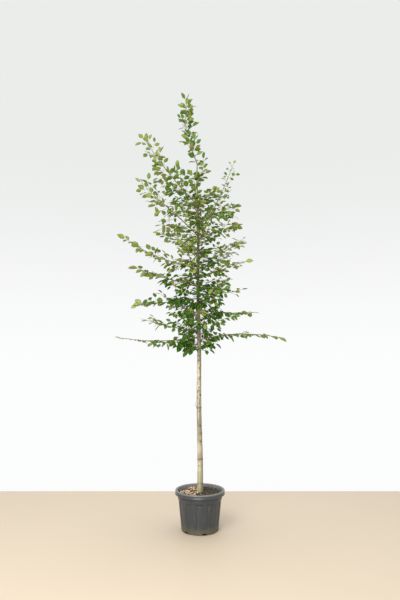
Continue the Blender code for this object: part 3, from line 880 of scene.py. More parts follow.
USUAL_HABIT = Habit()
HABITS = {
    "low_left": Habit(lush=1.35, hang=0.35, crowded=1.15, flat=0.4, small=0.80),
    "low_left_front": Habit(lush=1.8, hang=-0.15),
    "low_right": Habit(lush=1.05, crowded=1.25, flat=0.4),
    "low_right_front": Habit(lush=0.8),
    "low_back": Habit(lush=0.6),
    "middle_right": Habit(lush=0.9, crowded=1.25, flat=0.6),
    "middle_back_left": Habit(lush=1.2),
    "middle_left": Habit(lush=1.4, hang=-0.30, crowded=1.45, small=1.10),
    "middle_front_right": Habit(lush=1.3),
    "middle_back_right": Habit(crowded=1.25),
    "middle_left_front": Habit(lush=1.35, hang=0.40, crowded=1.35, small=1.15),
    "middle_right_high": Habit(lush=1.5, hang=-0.10, crowded=1.25),
    "middle_front": Habit(lush=1.3),
    "upper_left_back": Habit(crowded=1.15, small=1.15),
    "upper_right": Habit(lush=1.65, hang=0.05, crowded=1.25),
    "upper_left_front": Habit(lush=1.2),
    "upper_front": Habit(small=0.80),
    "upper_left": Habit(lush=1.7, hang=0.50, crowded=1.35),
    "high_right": Habit(lush=1.5, crowded=1.10, small=0.62),
    "high_right_front": Habit(lush=1.6, hang=0.30, crowded=1.45),
    "high_left": Habit(lush=1.45, hang=0.25),
    "shoot_low_left": Habit(lush=0.9, crowded=1.30),
    "shoot_low_right": Habit(crowded=1.20),
    "shoot_inner_left": Habit(lush=1.4),
    "shoot_inner_right": Habit(lush=1.5, crowded=1.35),
    "shoot_front": Habit(lush=0.8),
    "shoot_high_right": Habit(lush=3.0, crowded=1.40),
    "shoot_upright": Habit(lush=1.7, crowded=1.30),
}


TRUNK = TrunkLine()
BARE_TRUNK_TOP = 2.800
LEADER = Leader("leader", BARE_TRUNK_TOP, 180, 0.0,
                TRUNK.top - BARE_TRUNK_TOP - Limb.end_leaf, 0.0, 0.0, 0.80)
ALL_LIMBS = (*LIMBS, LEADER)


# ------------------------------------------------------------------ the crown's parts
class Tint(Enum):
    """The greens that the sprays are dealt, from the shaded heart of the crown to its top."""

    SHADED = LeafGreen("leaf_shaded", (0.044, 0.134, 0.007), 0.50)
    DEEP = LeafGreen("leaf_deep", (0.100, 0.200, 0.018), 0.50)
    MIDDLE = LeafGreen("leaf_middle", (0.168, 0.252, 0.034), 0.52)
    FRESH = LeafGreen("leaf_fresh", (0.228, 0.290, 0.054), 0.54)
    SUNLIT = LeafGreen("leaf_sunlit", (0.295, 0.348, 0.100), 0.56)
    OLIVE = LeafGreen("leaf_olive", (0.235, 0.238, 0.062), 0.56)


@dataclass(frozen=True)
class Leaf:
    """One leaf: where its stalk roots, how it is turned, and how long it is."""

    root: Vector
    turn: Quaternion
    length: float
    tint: Tint


@dataclass(frozen=True)
class Bud:
    """One pointed bud in a leaf's axil or at a twig's tip."""

    root: Vector
    turn: Quaternion
    length: float


@dataclass(frozen=True)
class Shoot:
    """One thin woody line with its radii."""

    line: list[Vector]
    radii: list[float]


@dataclass
class Growth:
    """Grows twigs, leaves and buds along every limb by one seeded rule.

    Nodes alternate in two ranks along a limb. A node bears a side twig, shorter towards the tip,
    or a single leaf. A long side twig bears twigs of its own. Each limb keeps its twigs to the
    space that is nearer to it than to any other limb.
    """

    node_spacing: float = 0.0215
    leader_crowding: float = 0.60
    leaf_spacing: float = 0.0245
    leaf_length: float = 0.060
    twig_length: float = 0.150
    twig_least: float = 0.034
    twig_radius: float = 0.00125
    twig_tip_radius: float = 0.00055
    twig_angle: float = math.radians(48)
    leaf_angle: float = math.radians(54)
    roll_spread: float = math.radians(55)
    twig_lean: float = math.radians(35)
    twig_rise: tuple[float, float] = (-0.05, 0.22)
    twig_clearance: float = 0.012
    zigzag: float = 0.12
    fork_least: float = 0.070
    fork_chance: float = 0.55
    fork_share: tuple[float, float] = (0.42, 0.62)
    leaf_rise: tuple[float, float] = (-0.30, 0.10)
    leaf_jitter: tuple[float, float] = (0.84, 1.14)
    leaf_clearance: float = 0.003
    bud_length: tuple[float, float] = (0.0030, 0.0048)
    twig_bud: float = 0.004
    limb_bud: float = 0.005
    olive_share: float = 0.035
    light_spread: float = 0.28
    twig_share: float = 0.48
    inner_twigs: float = 0.60
    heart_sag: float = 1.00
    steep_roll: float = math.radians(42)
    leader_twig: float = 0.092
    leader_share: float = 0.70
    leader_start: float = 0.18
    leader_turn: float = math.radians(55)
    inner_start: float = 0.25
    space_samples: int = 40
    front_free: float = math.radians(55)
    front_low: float = 1.56
    spur_count: int = 150
    front_spurs: float = 0.30
    spur_heights: tuple[float, float] = (1.27, 2.45)
    spur_leaves: tuple[int, int] = (3, 8)
    spur_step: float = 0.021
    spur_radius: float = 0.0015
    spur_thinning: float = 0.0008
    twigs: list[Shoot] = field(default_factory=list)
    leaves: list[Leaf] = field(default_factory=list)
    buds: list[Bud] = field(default_factory=list)

    def __post_init__(self) -> None:
        """Sample every limb's line, so that a point's nearest sample tells whose space it is in."""
        self.samples = KDTree(len(ALL_LIMBS) * self.space_samples)
        self.owners: list[str] = []
        for limb in ALL_LIMBS:
            for index in range(self.space_samples):
                self.samples.insert(limb.point((index + 1) / self.space_samples), len(self.owners))
                self.owners.append(limb.name)
        self.samples.balance()
        self.rng = random.Random("hornbeam")
        self.limb = LEADER
        self.hang = 0.0
        self.small = 1.0

    def in_space(self, point: Vector) -> bool:
        """Whether a point is nearer to the limb that grows now than to any other."""
        _, index, _ = self.samples.find(point)
        return self.owners[index] == self.limb.name

    @staticmethod
    def heart(point: Vector) -> float:
        """How far a point is in the low heart of the crown, where the leaves hang, 0 to 1."""
        near = 1.0 - smooth_step(0.14, 0.34, math.hypot(point.x, point.y))
        return near * (1.0 - smooth_step(1.45, 2.10, point.z))

    @staticmethod
    def leaf_share(point: Vector) -> float:
        """How long the leaves are at a point: smaller inside the crown than at the limbs' ends."""
        outside = smooth_step(0.12, 0.42, math.hypot(point.x, point.y))
        above = smooth_step(2.20, 2.60, point.z)
        below = 1.0 - smooth_step(1.30, 1.42, point.z)
        return 0.84 + 0.16 * max(outside, above) + 0.22 * below

    @staticmethod
    def aside(along: Vector, angle: float, roll: float) -> Vector:
        """Lean away from a stem by an angle, on the side that the roll gives.

        Args:
            along: The stem's direction.
            angle: How far to lean.
            roll: 0 and pi are the two level ranks; half of pi is straight up.

        Returns:
            The new direction.
        """
        level = UP.cross(along)
        level = level.normalized() if level.length > 0.3 else Vector((0.0, 1.0, 0.0))
        side = Quaternion(along, roll) @ (level - along * level.dot(along)).normalized()
        return (along * math.cos(angle) + side * math.sin(angle)).normalized()

    def pick_tint(self, point: Vector) -> Tint:
        """Deal a spray its green as painted light: deeper low and inside, fresher high and outside.
        """
        up = smooth_step(1.50, 2.15, point.z)
        out = min(1.0, math.hypot(point.x, point.y) / 0.45)
        if self.rng.random() < self.olive_share:
            return Tint.OLIVE
        top = smooth_step(2.30, 2.80, point.z)
        light = 0.02 + 0.44 * up + 0.62 * out * (1.0 - 0.5 * up) - 0.10 * top
        light += self.rng.uniform(-self.light_spread, self.light_spread)
        steps = (Tint.SHADED, Tint.DEEP, Tint.MIDDLE, Tint.FRESH, Tint.SUNLIT)
        return steps[min(4, max(0, int(light * 5.0)))]

    def add_leaf(self, root: Vector, along: Vector, angle: float, roll: float, size: float,
                 tint: Tint, lift: float = 0.0) -> None:
        """Add a leaf beside a stem, its face turned to the rank's plane and a little to the sky.

        Args:
            root: Where its stalk leaves the stem.
            along: The stem's direction there.
            angle: How far it leans away from the stem.
            roll: Which side it leaves on.
            size: Its length against the plant's usual leaf.
            tint: The green of its spray.
            lift: Turns it up by so much.
        """
        rng = self.rng
        direction = self.aside(along, angle * rng.uniform(0.75, 1.2), roll)
        sag = self.heart_sag * self.heart(root) * rng.uniform(0.2, 1.0)
        direction = (direction + UP * (rng.uniform(*self.leaf_rise) - sag + lift)).normalized()
        across = along.cross(direction)
        plane = across.normalized() if across.length > 0.05 else UP.copy()
        if plane.z < 0.0:
            plane = -plane
        loose = 0.35 + 0.50 * smooth_step(1.40, 1.60, root.z)
        wild = Vector([rng.uniform(-loose, loose) for _ in range(3)])
        facing = plane + UP * 0.35 + wild
        normal = (facing - direction * facing.dot(direction)).normalized()
        length = self.leaf_length * size * rng.uniform(*self.leaf_jitter) * self.leaf_share(root)
        length *= self.small
        tip = root + direction * length
        if min(TRUNK.gap(tip), TRUNK.gap(root.lerp(tip, 0.5))) < self.leaf_clearance:
            return
        axes = Matrix((direction, normal.cross(direction), normal)).transposed()
        self.leaves.append(Leaf(root, axes.to_quaternion(), length, tint))
        self.add_bud(root, self.aside(along, angle * 0.45, roll), rng.uniform(*self.bud_length))

    def add_bud(self, root: Vector, direction: Vector, length: float) -> None:
        """Add a bud that points along a direction."""
        self.buds.append(Bud(root, UP.rotation_difference(direction), length))

    def add_twig(self, root: Vector, along: Vector, roll: float, length: float, tint: Tint,
                 depth: int = 0) -> None:
        """Add a side twig that zigzags from leaf to leaf and ends in one.

        Args:
            root: Where it leaves its stem.
            along: The stem's direction there.
            roll: Which side it leaves on.
            length: The twig's length.
            tint: The green of its leaves.
            depth: 0 for a twig off a limb, 1 for one off such a twig.
        """
        rng = self.rng
        direction = self.aside(along, self.twig_angle * rng.uniform(0.8, 1.2), roll)
        lift = rng.uniform(*self.twig_rise) - self.hang
        direction = (direction + UP * lift).normalized()
        tip = root + direction * length
        if not self.in_space(tip) or TRUNK.gap(tip) < self.twig_clearance:
            self.add_leaf(root, along, self.leaf_angle, roll, rng.uniform(0.8, 1.05), tint)
            return
        count = max(2, round(length / self.leaf_spacing))
        step = length / count
        lean = rng.uniform(-self.twig_lean, self.twig_lean)
        side = rng.choice((0.0, math.pi))
        bend = Vector([rng.uniform(-0.05, 0.05), rng.uniform(-0.05, 0.05),
                       rng.uniform(-0.09, 0.03)])
        line = [root - direction * 0.0008]
        point = root.copy()
        for index in range(count):
            zig = self.aside(direction, 0.5 * math.pi, lean + side) * -self.zigzag
            point = point + (direction + zig).normalized() * step
            line.append(point)
            if index == count - 1:
                break
            swell = 0.80 + 0.28 * math.sin(math.pi * (index + 1) / count)
            forks = depth == 0 and length > self.fork_least and index < count - 2
            if forks and rng.random() < self.fork_chance:
                self.add_twig(point, direction, lean + side,
                              (count - index) * step * rng.uniform(*self.fork_share), tint, 1)
            else:
                self.add_leaf(point, direction, self.leaf_angle,
                              lean + side + rng.uniform(-0.35, 0.35), swell, tint)
            side += math.pi
            direction = (direction + bend).normalized()
        self.add_leaf(point - direction * 0.001, direction, 0.30, lean + side,
                      rng.uniform(0.82, 1.02), tint)
        self.add_bud(point, direction, self.twig_bud)
        thick = self.twig_radius * (0.80 if depth else 1.0) * (0.75 + length * 3.0)
        radii = [thick + (self.twig_tip_radius - thick) * index / count
                 for index in range(count + 1)]
        self.twigs.append(Shoot(line, radii))

    def clothe(self, limb: Limb) -> None:
        """Alternate twigs and leaves along a limb, and end it in a leaf.

        Args:
            limb: The limb, whose name also seeds the choices made along it.
        """
        self.limb = limb
        self.rng = rng = random.Random(limb.name)
        upright = limb is LEADER
        length = limb.length()
        habit = HABITS.get(limb.name, USUAL_HABIT)
        spacing = self.node_spacing / length / habit.crowded
        spacing *= self.leader_crowding if upright else 1.0
        steep = smooth_step(0.35, 0.85, abs(limb.direction(0.6).z))
        lift = 0.0 if upright else self.steep_roll * steep
        share = limb.bare * self.inner_start + 0.016 / length
        share -= self.leader_start if upright else 0.0
        stray = self.roll_spread * habit.flat
        roll = lift + 0.3 * rng.uniform(-stray, stray)
        while share < 1.0 - 0.35 * spacing:
            root, along = limb.point(share), limb.direction(share)
            loose = stray * (1.0 - 0.70 * smooth_step(0.35, 0.62, share))
            self.hang = habit.hang * (1.0 - 0.8 * smooth_step(0.50, 0.80, share))
            self.small = 1.0 - (1.0 - habit.small) * smooth_step(0.20, 0.60, share)
            spread = roll + rng.uniform(-loose, loose)
            twig = self.twig_length * limb.full * (1.0 - 0.74 * share) * rng.uniform(0.6, 1.25)
            twig *= habit.lush * (1.0 - 0.30 * smooth_step(0.60, 1.00, share))
            chance = self.twig_share + self.inner_twigs * (1.0 - share) ** 2
            if upright:
                wide = math.sin(math.pi * (0.22 + 0.72 * share))
                twig = self.leader_twig * wide * rng.uniform(0.7, 1.2)
                chance = self.leader_share
            tint = self.pick_tint(root)
            if twig > self.twig_least and rng.random() < chance:
                self.add_twig(root, along, spread, twig, tint)
            else:
                self.add_leaf(root, along, self.leaf_angle, spread, rng.uniform(0.85, 1.1), tint)
            roll += math.pi + (self.leader_turn if upright else 0.0)
            share += spacing * rng.uniform(0.8, 1.2)
        tip, along = limb.point(1.0), limb.direction(0.99)
        self.add_leaf(tip, along, 0.15, roll, 1.0, self.pick_tint(tip), 0.6 if upright else 0.0)
        self.add_bud(tip, along, self.limb_bud)

    def add_spurs(self) -> None:
        """Put short leafy spurs on the trunk itself, where the crown is close and dark."""
        self.rng = rng = random.Random("spurs")
        self.hang, self.small = 0.0, 1.0
        low, high = self.spur_heights
        for index in range(self.spur_count):
            height = low + (high - low) * (index + rng.random()) / self.spur_count
            low_down = height < self.front_low
            free = self.front_free if low_down else 0.0
            heading = FRONT + rng.uniform(free, math.tau - free)
            if not low_down and rng.random() < self.front_spurs:
                heading = FRONT + rng.uniform(-0.9, 0.9)
            out = Vector((math.cos(heading), math.sin(heading), rng.uniform(0.1, 0.7)))
            root = TRUNK.centre(height) + Vector((out.x, out.y, 0.0)) * TRUNK.radius(height) * 0.9
            self.limb = min(ALL_LIMBS, key=lambda limb: (limb.point(0.1) - root).length)
            count = rng.randint(*self.spur_leaves)
            length = self.spur_step * count
            line = [root + out.normalized() * length * step / count for step in range(count + 1)]
            self.twigs.append(Shoot(line, [self.spur_radius - self.spur_thinning * step / count
                                           for step in range(count + 1)]))
            tint = self.pick_tint(root)
            roll = rng.uniform(-0.5, 0.5)
            for point in line[1:]:
                self.add_leaf(point, out.normalized(), self.leaf_angle, roll,
                              rng.uniform(0.8, 1.1), tint)
                roll += math.pi


@dataclass(frozen=True)
class LeafShape:
    """A hornbeam leaf of unit length: oval, toothed, pleated and folded along its midrib."""

    width: float = 0.53
    fold: float = 0.20
    droop: float = 0.10
    twist: float = 0.0
    thickness: float = 0.010
    pleat: float = 0.012
    tooth: float = 0.018
    stalk: float = 0.14
    stalk_radius: float = 0.010
    stations: tuple[float, ...] = (0.0, 0.10, 0.24, 0.39, 0.54, 0.69, 0.84, 1.0)

    def half_width(self, share: float) -> float:
        """Half the leaf's width at a share of its length."""
        return 0.5 * self.width * max(0.0, math.sin(math.pi * share ** 0.88)) ** 0.82

    def mesh(self, name: str) -> bpy.types.Mesh:
        """Build the leaf along +X, its face to +Z, with a thin closed blade and its stalk.

        Args:
            name: The mesh's name.

        Returns:
            The mesh.
        """
        bm = bmesh.new()
        upper, lower = [], []
        for index, share in enumerate(self.stations):
            at_end = share in (0.0, 1.0)
            hand = 1.0 if index % 2 else -1.0
            half = self.half_width(share) * (1.0 + self.tooth * hand)
            middle = Vector((self.stalk + share * (1.0 - self.stalk), 0.0,
                             -self.droop * share * share))
            turn = Quaternion((1.0, 0.0, 0.0), self.twist * share)

            def corner(across: float, up: float) -> bmesh.types.BMVert:
                """One point of this station's cross-section."""
                lift = abs(across) * self.fold + up
                return bm.verts.new(middle + turn @ Vector((0.0, across, lift)))

            if at_end:
                both = [corner(0.0, 0.0)] * 5
                upper.append(both)
                lower.append(both)
                continue
            rim = (corner(-half, 0.0), corner(half, 0.0))
            wave = self.pleat * hand
            top, under = 0.5 * self.thickness, -0.5 * self.thickness
            upper.append([rim[0], corner(-0.5 * half, wave + top), corner(0.0, top),
                          corner(0.5 * half, wave + top), rim[1]])
            lower.append([rim[0], corner(-0.5 * half, wave + under), corner(0.0, under),
                          corner(0.5 * half, wave + under), rim[1]])
        for rows, outward in ((upper, False), (lower, True)):
            for before, after in zip(rows, rows[1:]):
                for column in range(4):
                    ring = [before[column], after[column], after[column + 1], before[column + 1]]
                    ring = list(dict.fromkeys(ring))
                    if len(ring) > 2:
                        bm.faces.new(ring if outward else ring[::-1])
        self._add_stalk(bm)
        bmesh.ops.recalc_face_normals(bm, faces=bm.faces)
        return finish_mesh(bm, name)

    def _add_stalk(self, bm: bmesh.types.BMesh) -> None:
        """Add the three-sided stalk from the twig to the blade."""
        rings = []
        for place in (-0.02, self.stalk + 0.05):
            rings.append([bm.verts.new((place, self.stalk_radius * math.cos(math.tau * side / 3.0),
                                        self.stalk_radius * math.sin(math.tau * side / 3.0)))
                          for side in range(3)])
        skin_rings(bm, rings)
        bm.faces.new(rings[1])


@dataclass(frozen=True)
class BudShape:
    """A slender pointed bud of unit length along +Z."""

    width: float = 0.42
    sides: int = 5
    profile: tuple[tuple[float, float], ...] = ((-0.1, 0.45), (0.35, 1.0), (0.75, 0.55))

    def mesh(self, name: str) -> bpy.types.Mesh:
        """Build the bud as a closed spindle."""
        bm = bmesh.new()
        rings = []
        for height, share in self.profile:
            radius = 0.5 * self.width * share
            rings.append([bm.verts.new((radius * math.cos(math.tau * side / self.sides),
                                        radius * math.sin(math.tau * side / self.sides), height))
                          for side in range(self.sides)])
        skin_rings(bm, rings)
        tip = bm.verts.new((0.0, 0.0, 1.0))
        for side in range(self.sides):
            bm.faces.new((rings[-1][side], rings[-1][(side + 1) % self.sides], tip))
        return finish_mesh(bm, name)


class SprayTree(Scatter):
    """Puts one of a few shapes on each point, by the points' own turn and size."""

    def __init__(self) -> None:
        """Build the tree, with its named inputs."""
        super().__init__("Sprays")
        shapes = self.take("Shapes", "NodeSocketCollection")
        variation = self.take("Variation", "NodeSocketFloat")
        seed = self.take("Seed", "NodeSocketInt")
        material = self.take("Material", "NodeSocketMaterial")
        least = self.node("ShaderNodeMath", {"operation": "SUBTRACT"}, {0: 1.0, 1: variation})
        most = self.node("ShaderNodeMath", {"operation": "ADD"}, {0: 1.0, 1: variation})
        chance = self.node("FunctionNodeRandomValue", {"data_type": "FLOAT"},
                           {2: least.outputs[0], 3: most.outputs[0], "Seed": seed})
        sized = self.node("ShaderNodeMath", {"operation": "MULTIPLY"},
                          {0: self.named("size", "FLOAT"), 1: chance.outputs[1]})
        placed = self.shapes_at(self.entry.outputs["Geometry"], shapes, seed,
                                self.named("turn", "QUATERNION"), sized.outputs[0])
        self.close(placed, material)


class LimbTree(Scatter):
    """Sweeps a round section along every chain of edges, by the points' own radius."""

    def __init__(self) -> None:
        """Build the tree, with its named inputs."""
        super().__init__("Limbs")
        sides = self.take("Sides", "NodeSocketInt")
        material = self.take("Material", "NodeSocketMaterial")
        lines = self.node("GeometryNodeMeshToCurve", {}, {"Mesh": self.entry.outputs["Geometry"]})
        ring = self.node("GeometryNodeCurvePrimitiveCircle", {"mode": "RADIUS"},
                         {"Resolution": sides, "Radius": 1.0})
        swept = self.node("GeometryNodeCurveToMesh", {},
                          {"Curve": lines.outputs[0], "Profile Curve": ring.outputs[0],
                           "Scale": self.named("radius", "FLOAT"), "Fill Caps": True})
        self.close(swept.outputs[0], material)


class CrumbTree(Scatter):
    """Strews bits over a surface, as thick as its own painted share allows."""

    def __init__(self) -> None:
        """Build the tree, with its named inputs."""
        super().__init__("Crumbs")
        shapes = self.take("Shapes", "NodeSocketCollection")
        density = self.take("Density", "NodeSocketFloat")
        least = self.take("Smallest", "NodeSocketFloat")
        most = self.take("Largest", "NodeSocketFloat")
        seed = self.take("Seed", "NodeSocketInt")
        material = self.take("Material", "NodeSocketMaterial")
        wanted = self.node("ShaderNodeMath", {"operation": "MULTIPLY"},
                           {0: self.named("share", "FLOAT"), 1: density})
        strewn = self.node("GeometryNodeDistributePointsOnFaces", {},
                           {"Mesh": self.entry.outputs["Geometry"],
                            "Density": wanted.outputs[0], "Seed": seed})
        sized = self.node("FunctionNodeRandomValue", {"data_type": "FLOAT"},
                          {2: least, 3: most, "Seed": seed})
        turned = self.node("FunctionNodeRandomValue", {"data_type": "FLOAT_VECTOR"},
                           {0: (-0.5, -0.5, 0.0), 1: (0.5, 0.5, math.tau), "Seed": seed})
        placed = self.shapes_at(strewn.outputs["Points"], shapes, seed, turned.outputs[0],
                                sized.outputs[1])
        self.close(placed, material)


def point_host(name: str, roots: Sequence[Vector], turns: Sequence[Quaternion],
               sizes: Sequence[float]) -> bpy.types.Object:
    """Make the object whose loose points a SprayTree grows shapes on.

    Args:
        name: The piece's name.
        roots: Where each shape goes.
        turns: How it is turned.
        sizes: Its length in metres.

    Returns:
        The object, in the scene.
    """
    mesh = bpy.data.meshes.new(name)
    mesh.from_pydata(list(roots), [], [])
    mesh.attributes.new("turn", "QUATERNION", "POINT").data.foreach_set(
        "value", [part for turn in turns for part in turn])
    mesh.attributes.new("size", "FLOAT", "POINT").data.foreach_set("value", list(sizes))
    return place_object(name, mesh)


def line_host(name: str, shoots: Sequence[Shoot]) -> bpy.types.Object:
    """Make the object whose chains of edges a LimbTree sweeps into wood."""
    mesh = bpy.data.meshes.new(name)
    points: list[Vector] = []
    edges: list[tuple[int, int]] = []
    radii: list[float] = []
    for shoot in shoots:
        base = len(points)
        points += shoot.line
        radii += shoot.radii
        edges += [(base + step, base + step + 1) for step in range(len(shoot.line) - 1)]
    mesh.from_pydata(points, edges, [])
    mesh.attributes.new("radius", "FLOAT", "POINT").data.foreach_set("value", radii)
    return place_object(name, mesh)


# ------------------------------------------------------------------ the wood
@dataclass(frozen=True)
class Scar:
    """The healed mark of a branch that was pruned off the stem."""

    height: float
    angle: float
    size: float


@dataclass
class Wood:
    """The trunk and its boughs, with their bark's relief."""

    bark: YoungBark = YoungBark("bark")
    # The boughs' middle colour is likewise painted shade of the crown.
    bough_bark: YoungBark = YoungBark("bough_bark", low=(0.260, 0.205, 0.115),
                                      middle=(0.190, 0.150, 0.080), high=(0.235, 0.200, 0.105),
                                      shaded=(0.130, 0.105, 0.055))
    large_scars: tuple[float, ...] = (0.616, 0.673, 0.728, 0.948, 1.205)
    large_scar_size: float = 0.015
    rings: tuple[tuple[float, float], ...] = ((0.320, 0.50), (0.490, 0.95), (0.857, 0.85))
    ring_size: float = 0.0055
    stub: tuple[float, float, float] = (0.860, math.radians(200), 0.040)
    trunk_sides: int = 36
    ring_step: float = 0.0050
    bough_sides: int = 12
    bough_step: float = 0.006
    ring_rise: float = 0.0016
    fluting: float = 0.00055
    knobble: float = 0.00050
    flare_lobes: float = 0.0018
    # The angle round the trunk at which its painted shade is darkest.
    painted_shade_side: float = math.radians(-15)
    scar_depth: float = 0.0019
    scar_reach: float = 0.03
    scar_sizes: tuple[float, float] = (0.006, 0.010)
    scar_gaps: tuple[float, float] = (0.030, 0.085)
    scar_lowest: float = 0.315
    scar_highest: float = 1.30
    collar_height: float = 0.011
    collar_swell: float = 0.0013
    stub_radius: float = 0.0017
    stub_thinning: float = 0.0009
    stub_reach: float = 0.016
    stub_steps: int = 6
    leaf_trace: float = 0.034
    trace_width: float = 0.0030
    trace_rise: float = 0.00035
    trace_band: float = 0.002
    bough_knobble: float = 0.00022

    def __post_init__(self) -> None:
        """Place the pruning scars up the clear stem."""
        rng = random.Random("scars")
        self.scars: list[Scar] = []
        height = self.scar_lowest
        while height < self.scar_highest:
            self.scars.append(Scar(height, rng.uniform(0.0, math.tau),
                                   rng.uniform(*self.scar_sizes)))
            height += rng.uniform(*self.scar_gaps)
        for height in self.large_scars:
            angle = FRONT + rng.uniform(-0.3, 0.9)
            self.scars.append(Scar(height, angle, self.large_scar_size))

    def build(self) -> None:
        settle(self._trunk(self.bark.material()), ["trunk"])
        settle(self._boughs(self.bough_bark.material()),
               [f"bough_{limb.name}" for limb in LIMBS if limb.has_bough])

    def _scar_part(self, scar: Scar, height: float, angle: float, radius: float) -> float:
        """How much of a scar shows at a point of the bark, from 0 to 1."""
        turn = (angle - scar.angle + math.pi) % math.tau - math.pi
        away = (turn * radius / scar.size) ** 2 + ((height - scar.height) / scar.size) ** 2
        return math.exp(-away * 2.2)

    def _scarred(self, height: float, angle: float, radius: float) -> float:
        """How much of the scars near a point of the bark shows there."""
        return sum(self._scar_part(scar, height, angle, radius)
                   for scar in self.scars if abs(scar.height - height) < self.scar_reach)

    def _ringed(self, height: float) -> float:
        """How strongly the stem's growth rings show at a height."""
        return sum(mark * math.exp(-((height - level) / self.ring_size) ** 2)
                   for level, mark in self.rings)

    def _trunk(self, material: bpy.types.Material) -> bpy.types.Object:
        """The trunk from its flare on the compost to the leader's last bud."""
        foot, top = TRUNK.foot - 0.010, TRUNK.wood_top
        count = round((top - foot) / self.ring_step)
        heights = [foot + (top - foot) * ring / count for ring in range(count + 1)]
        line = [TRUNK.centre(height) for height in heights]
        radii = [TRUNK.radius(max(TRUNK.foot, height)) for height in heights]
        limbs = [(limb.height, math.radians(limb.azimuth)) for limb in LIMBS]

        def marks(ring: int, angle: float) -> float:
            """The dark mark of every scar, and of the rings at the listed heights."""
            height = heights[ring]
            return min(1.0, self._scarred(height, angle, radii[ring]) + self._ringed(height))

        def relief(ring: int, angle: float) -> float:
            """Flutes, knobbles, the flare's lobes, scars and the collars under the limbs."""
            height, radius = heights[ring], radii[ring]
            slim = radius / TRUNK.base_radius
            flare = math.exp(-max(0.0, height - TRUNK.foot) / 0.035)
            place = Vector((math.cos(angle) * 1.3, math.sin(angle) * 1.3, height * 7.0))
            rough = noise.fractal(place * 2.2, 1.0, 2.0, 4) * self.knobble
            flute = math.sin(3.0 * angle + 1.7 * height) * self.fluting
            lobe = math.cos(5.0 * angle + 0.6) * self.flare_lobes * flare
            raised = self._scarred(height, angle, radius)
            collars = sum(math.exp(-((height - level + 0.006) / self.collar_height) ** 2)
                          * max(0.0, math.cos(angle - heading)) ** 2
                          for level, heading in limbs if abs(level - height) < 0.04)
            return ((rough + flute) * slim + lobe + raised * self.scar_depth * slim
                    + self._ringed(height) * self.ring_rise + collars * self.collar_swell * slim)

        bag = Bag("bark_trunk")
        bag.tube(line, radii, self.trunk_sides, relief, marks)
        ringed = len(bag.points)
        self._add_stub(bag)
        piece = bag.piece(material, "knot", math.radians(70))
        # Painted shade: the side attribute darkens the trunk away from the key lamp, and the stub
        # by half.
        turns = [math.tau * side / self.trunk_sides for side in range(self.trunk_sides)]
        shade = [smooth_step(-0.1, 1.0, math.cos(turn - self.painted_shade_side)) for turn in turns]
        piece.data.attributes.new("side", "FLOAT", "POINT").data.foreach_set(
            "value", shade * len(line) + [0.5] * (len(bag.points) - ringed))
        return piece

    def _add_stub(self, bag: Bag) -> None:
        """Add the dry twig left standing at the middle ring, curving up close to the stem."""
        height, heading, length = self.stub
        steps = self.stub_steps
        out = Vector((math.cos(heading), math.sin(heading), 0.0))
        root = TRUNK.centre(height) + out * TRUNK.radius(height) * 0.7
        line = [root + out * self.stub_reach
                * math.sin(0.5 * math.pi * min(1.0, 2.0 * step / steps))
                + UP * length * (step / steps) ** 1.6 for step in range(steps + 1)]
        radii = [self.stub_radius - self.stub_thinning * step / steps for step in range(steps + 1)]
        bag.tube(line, radii, 8, None, lambda _ring, _angle: 0.5)

    def _trace(self, along: float, width: float) -> float:
        """How near a place along a bough is to the swelling where a leaf has been, 0 to 1."""
        return math.exp(-((along % self.leaf_trace - 0.5 * self.leaf_trace) / width) ** 2)

    def _boughs(self, material: bpy.types.Material) -> bpy.types.Object:
        """Every limb from inside the trunk to its tip, in one piece."""
        bag = Bag("bark_boughs")
        for limb in LIMBS:
            length = limb.length()
            count = max(8, round(length / self.bough_step))
            shares = [index / count for index in range(count + 1)]
            offset = Vector((limb.height * 10.0, limb.azimuth, 0.0))

            def relief(ring: int, angle: float, length: float = length,
                       shares: list[float] = shares, offset: Vector = offset) -> float:
                """Small swellings where leaves have been, and a faint roughness."""
                along = shares[ring] * length
                place = Vector((math.cos(angle), math.sin(angle), along * 60.0)) + offset
                return (noise.noise(place) * self.bough_knobble
                        + self._trace(along, self.trace_width) * self.trace_rise)

            def marks(ring: int, _angle: float, length: float = length,
                      shares: list[float] = shares) -> float:
                """A darker band at each swelling."""
                return 0.5 * self._trace(shares[ring] * length, self.trace_band)

            bag.tube([limb.point(share) for share in shares],
                     [limb.radius(share) for share in shares], self.bough_sides, relief, marks)
        return bag.piece(material, "knot", math.radians(70))


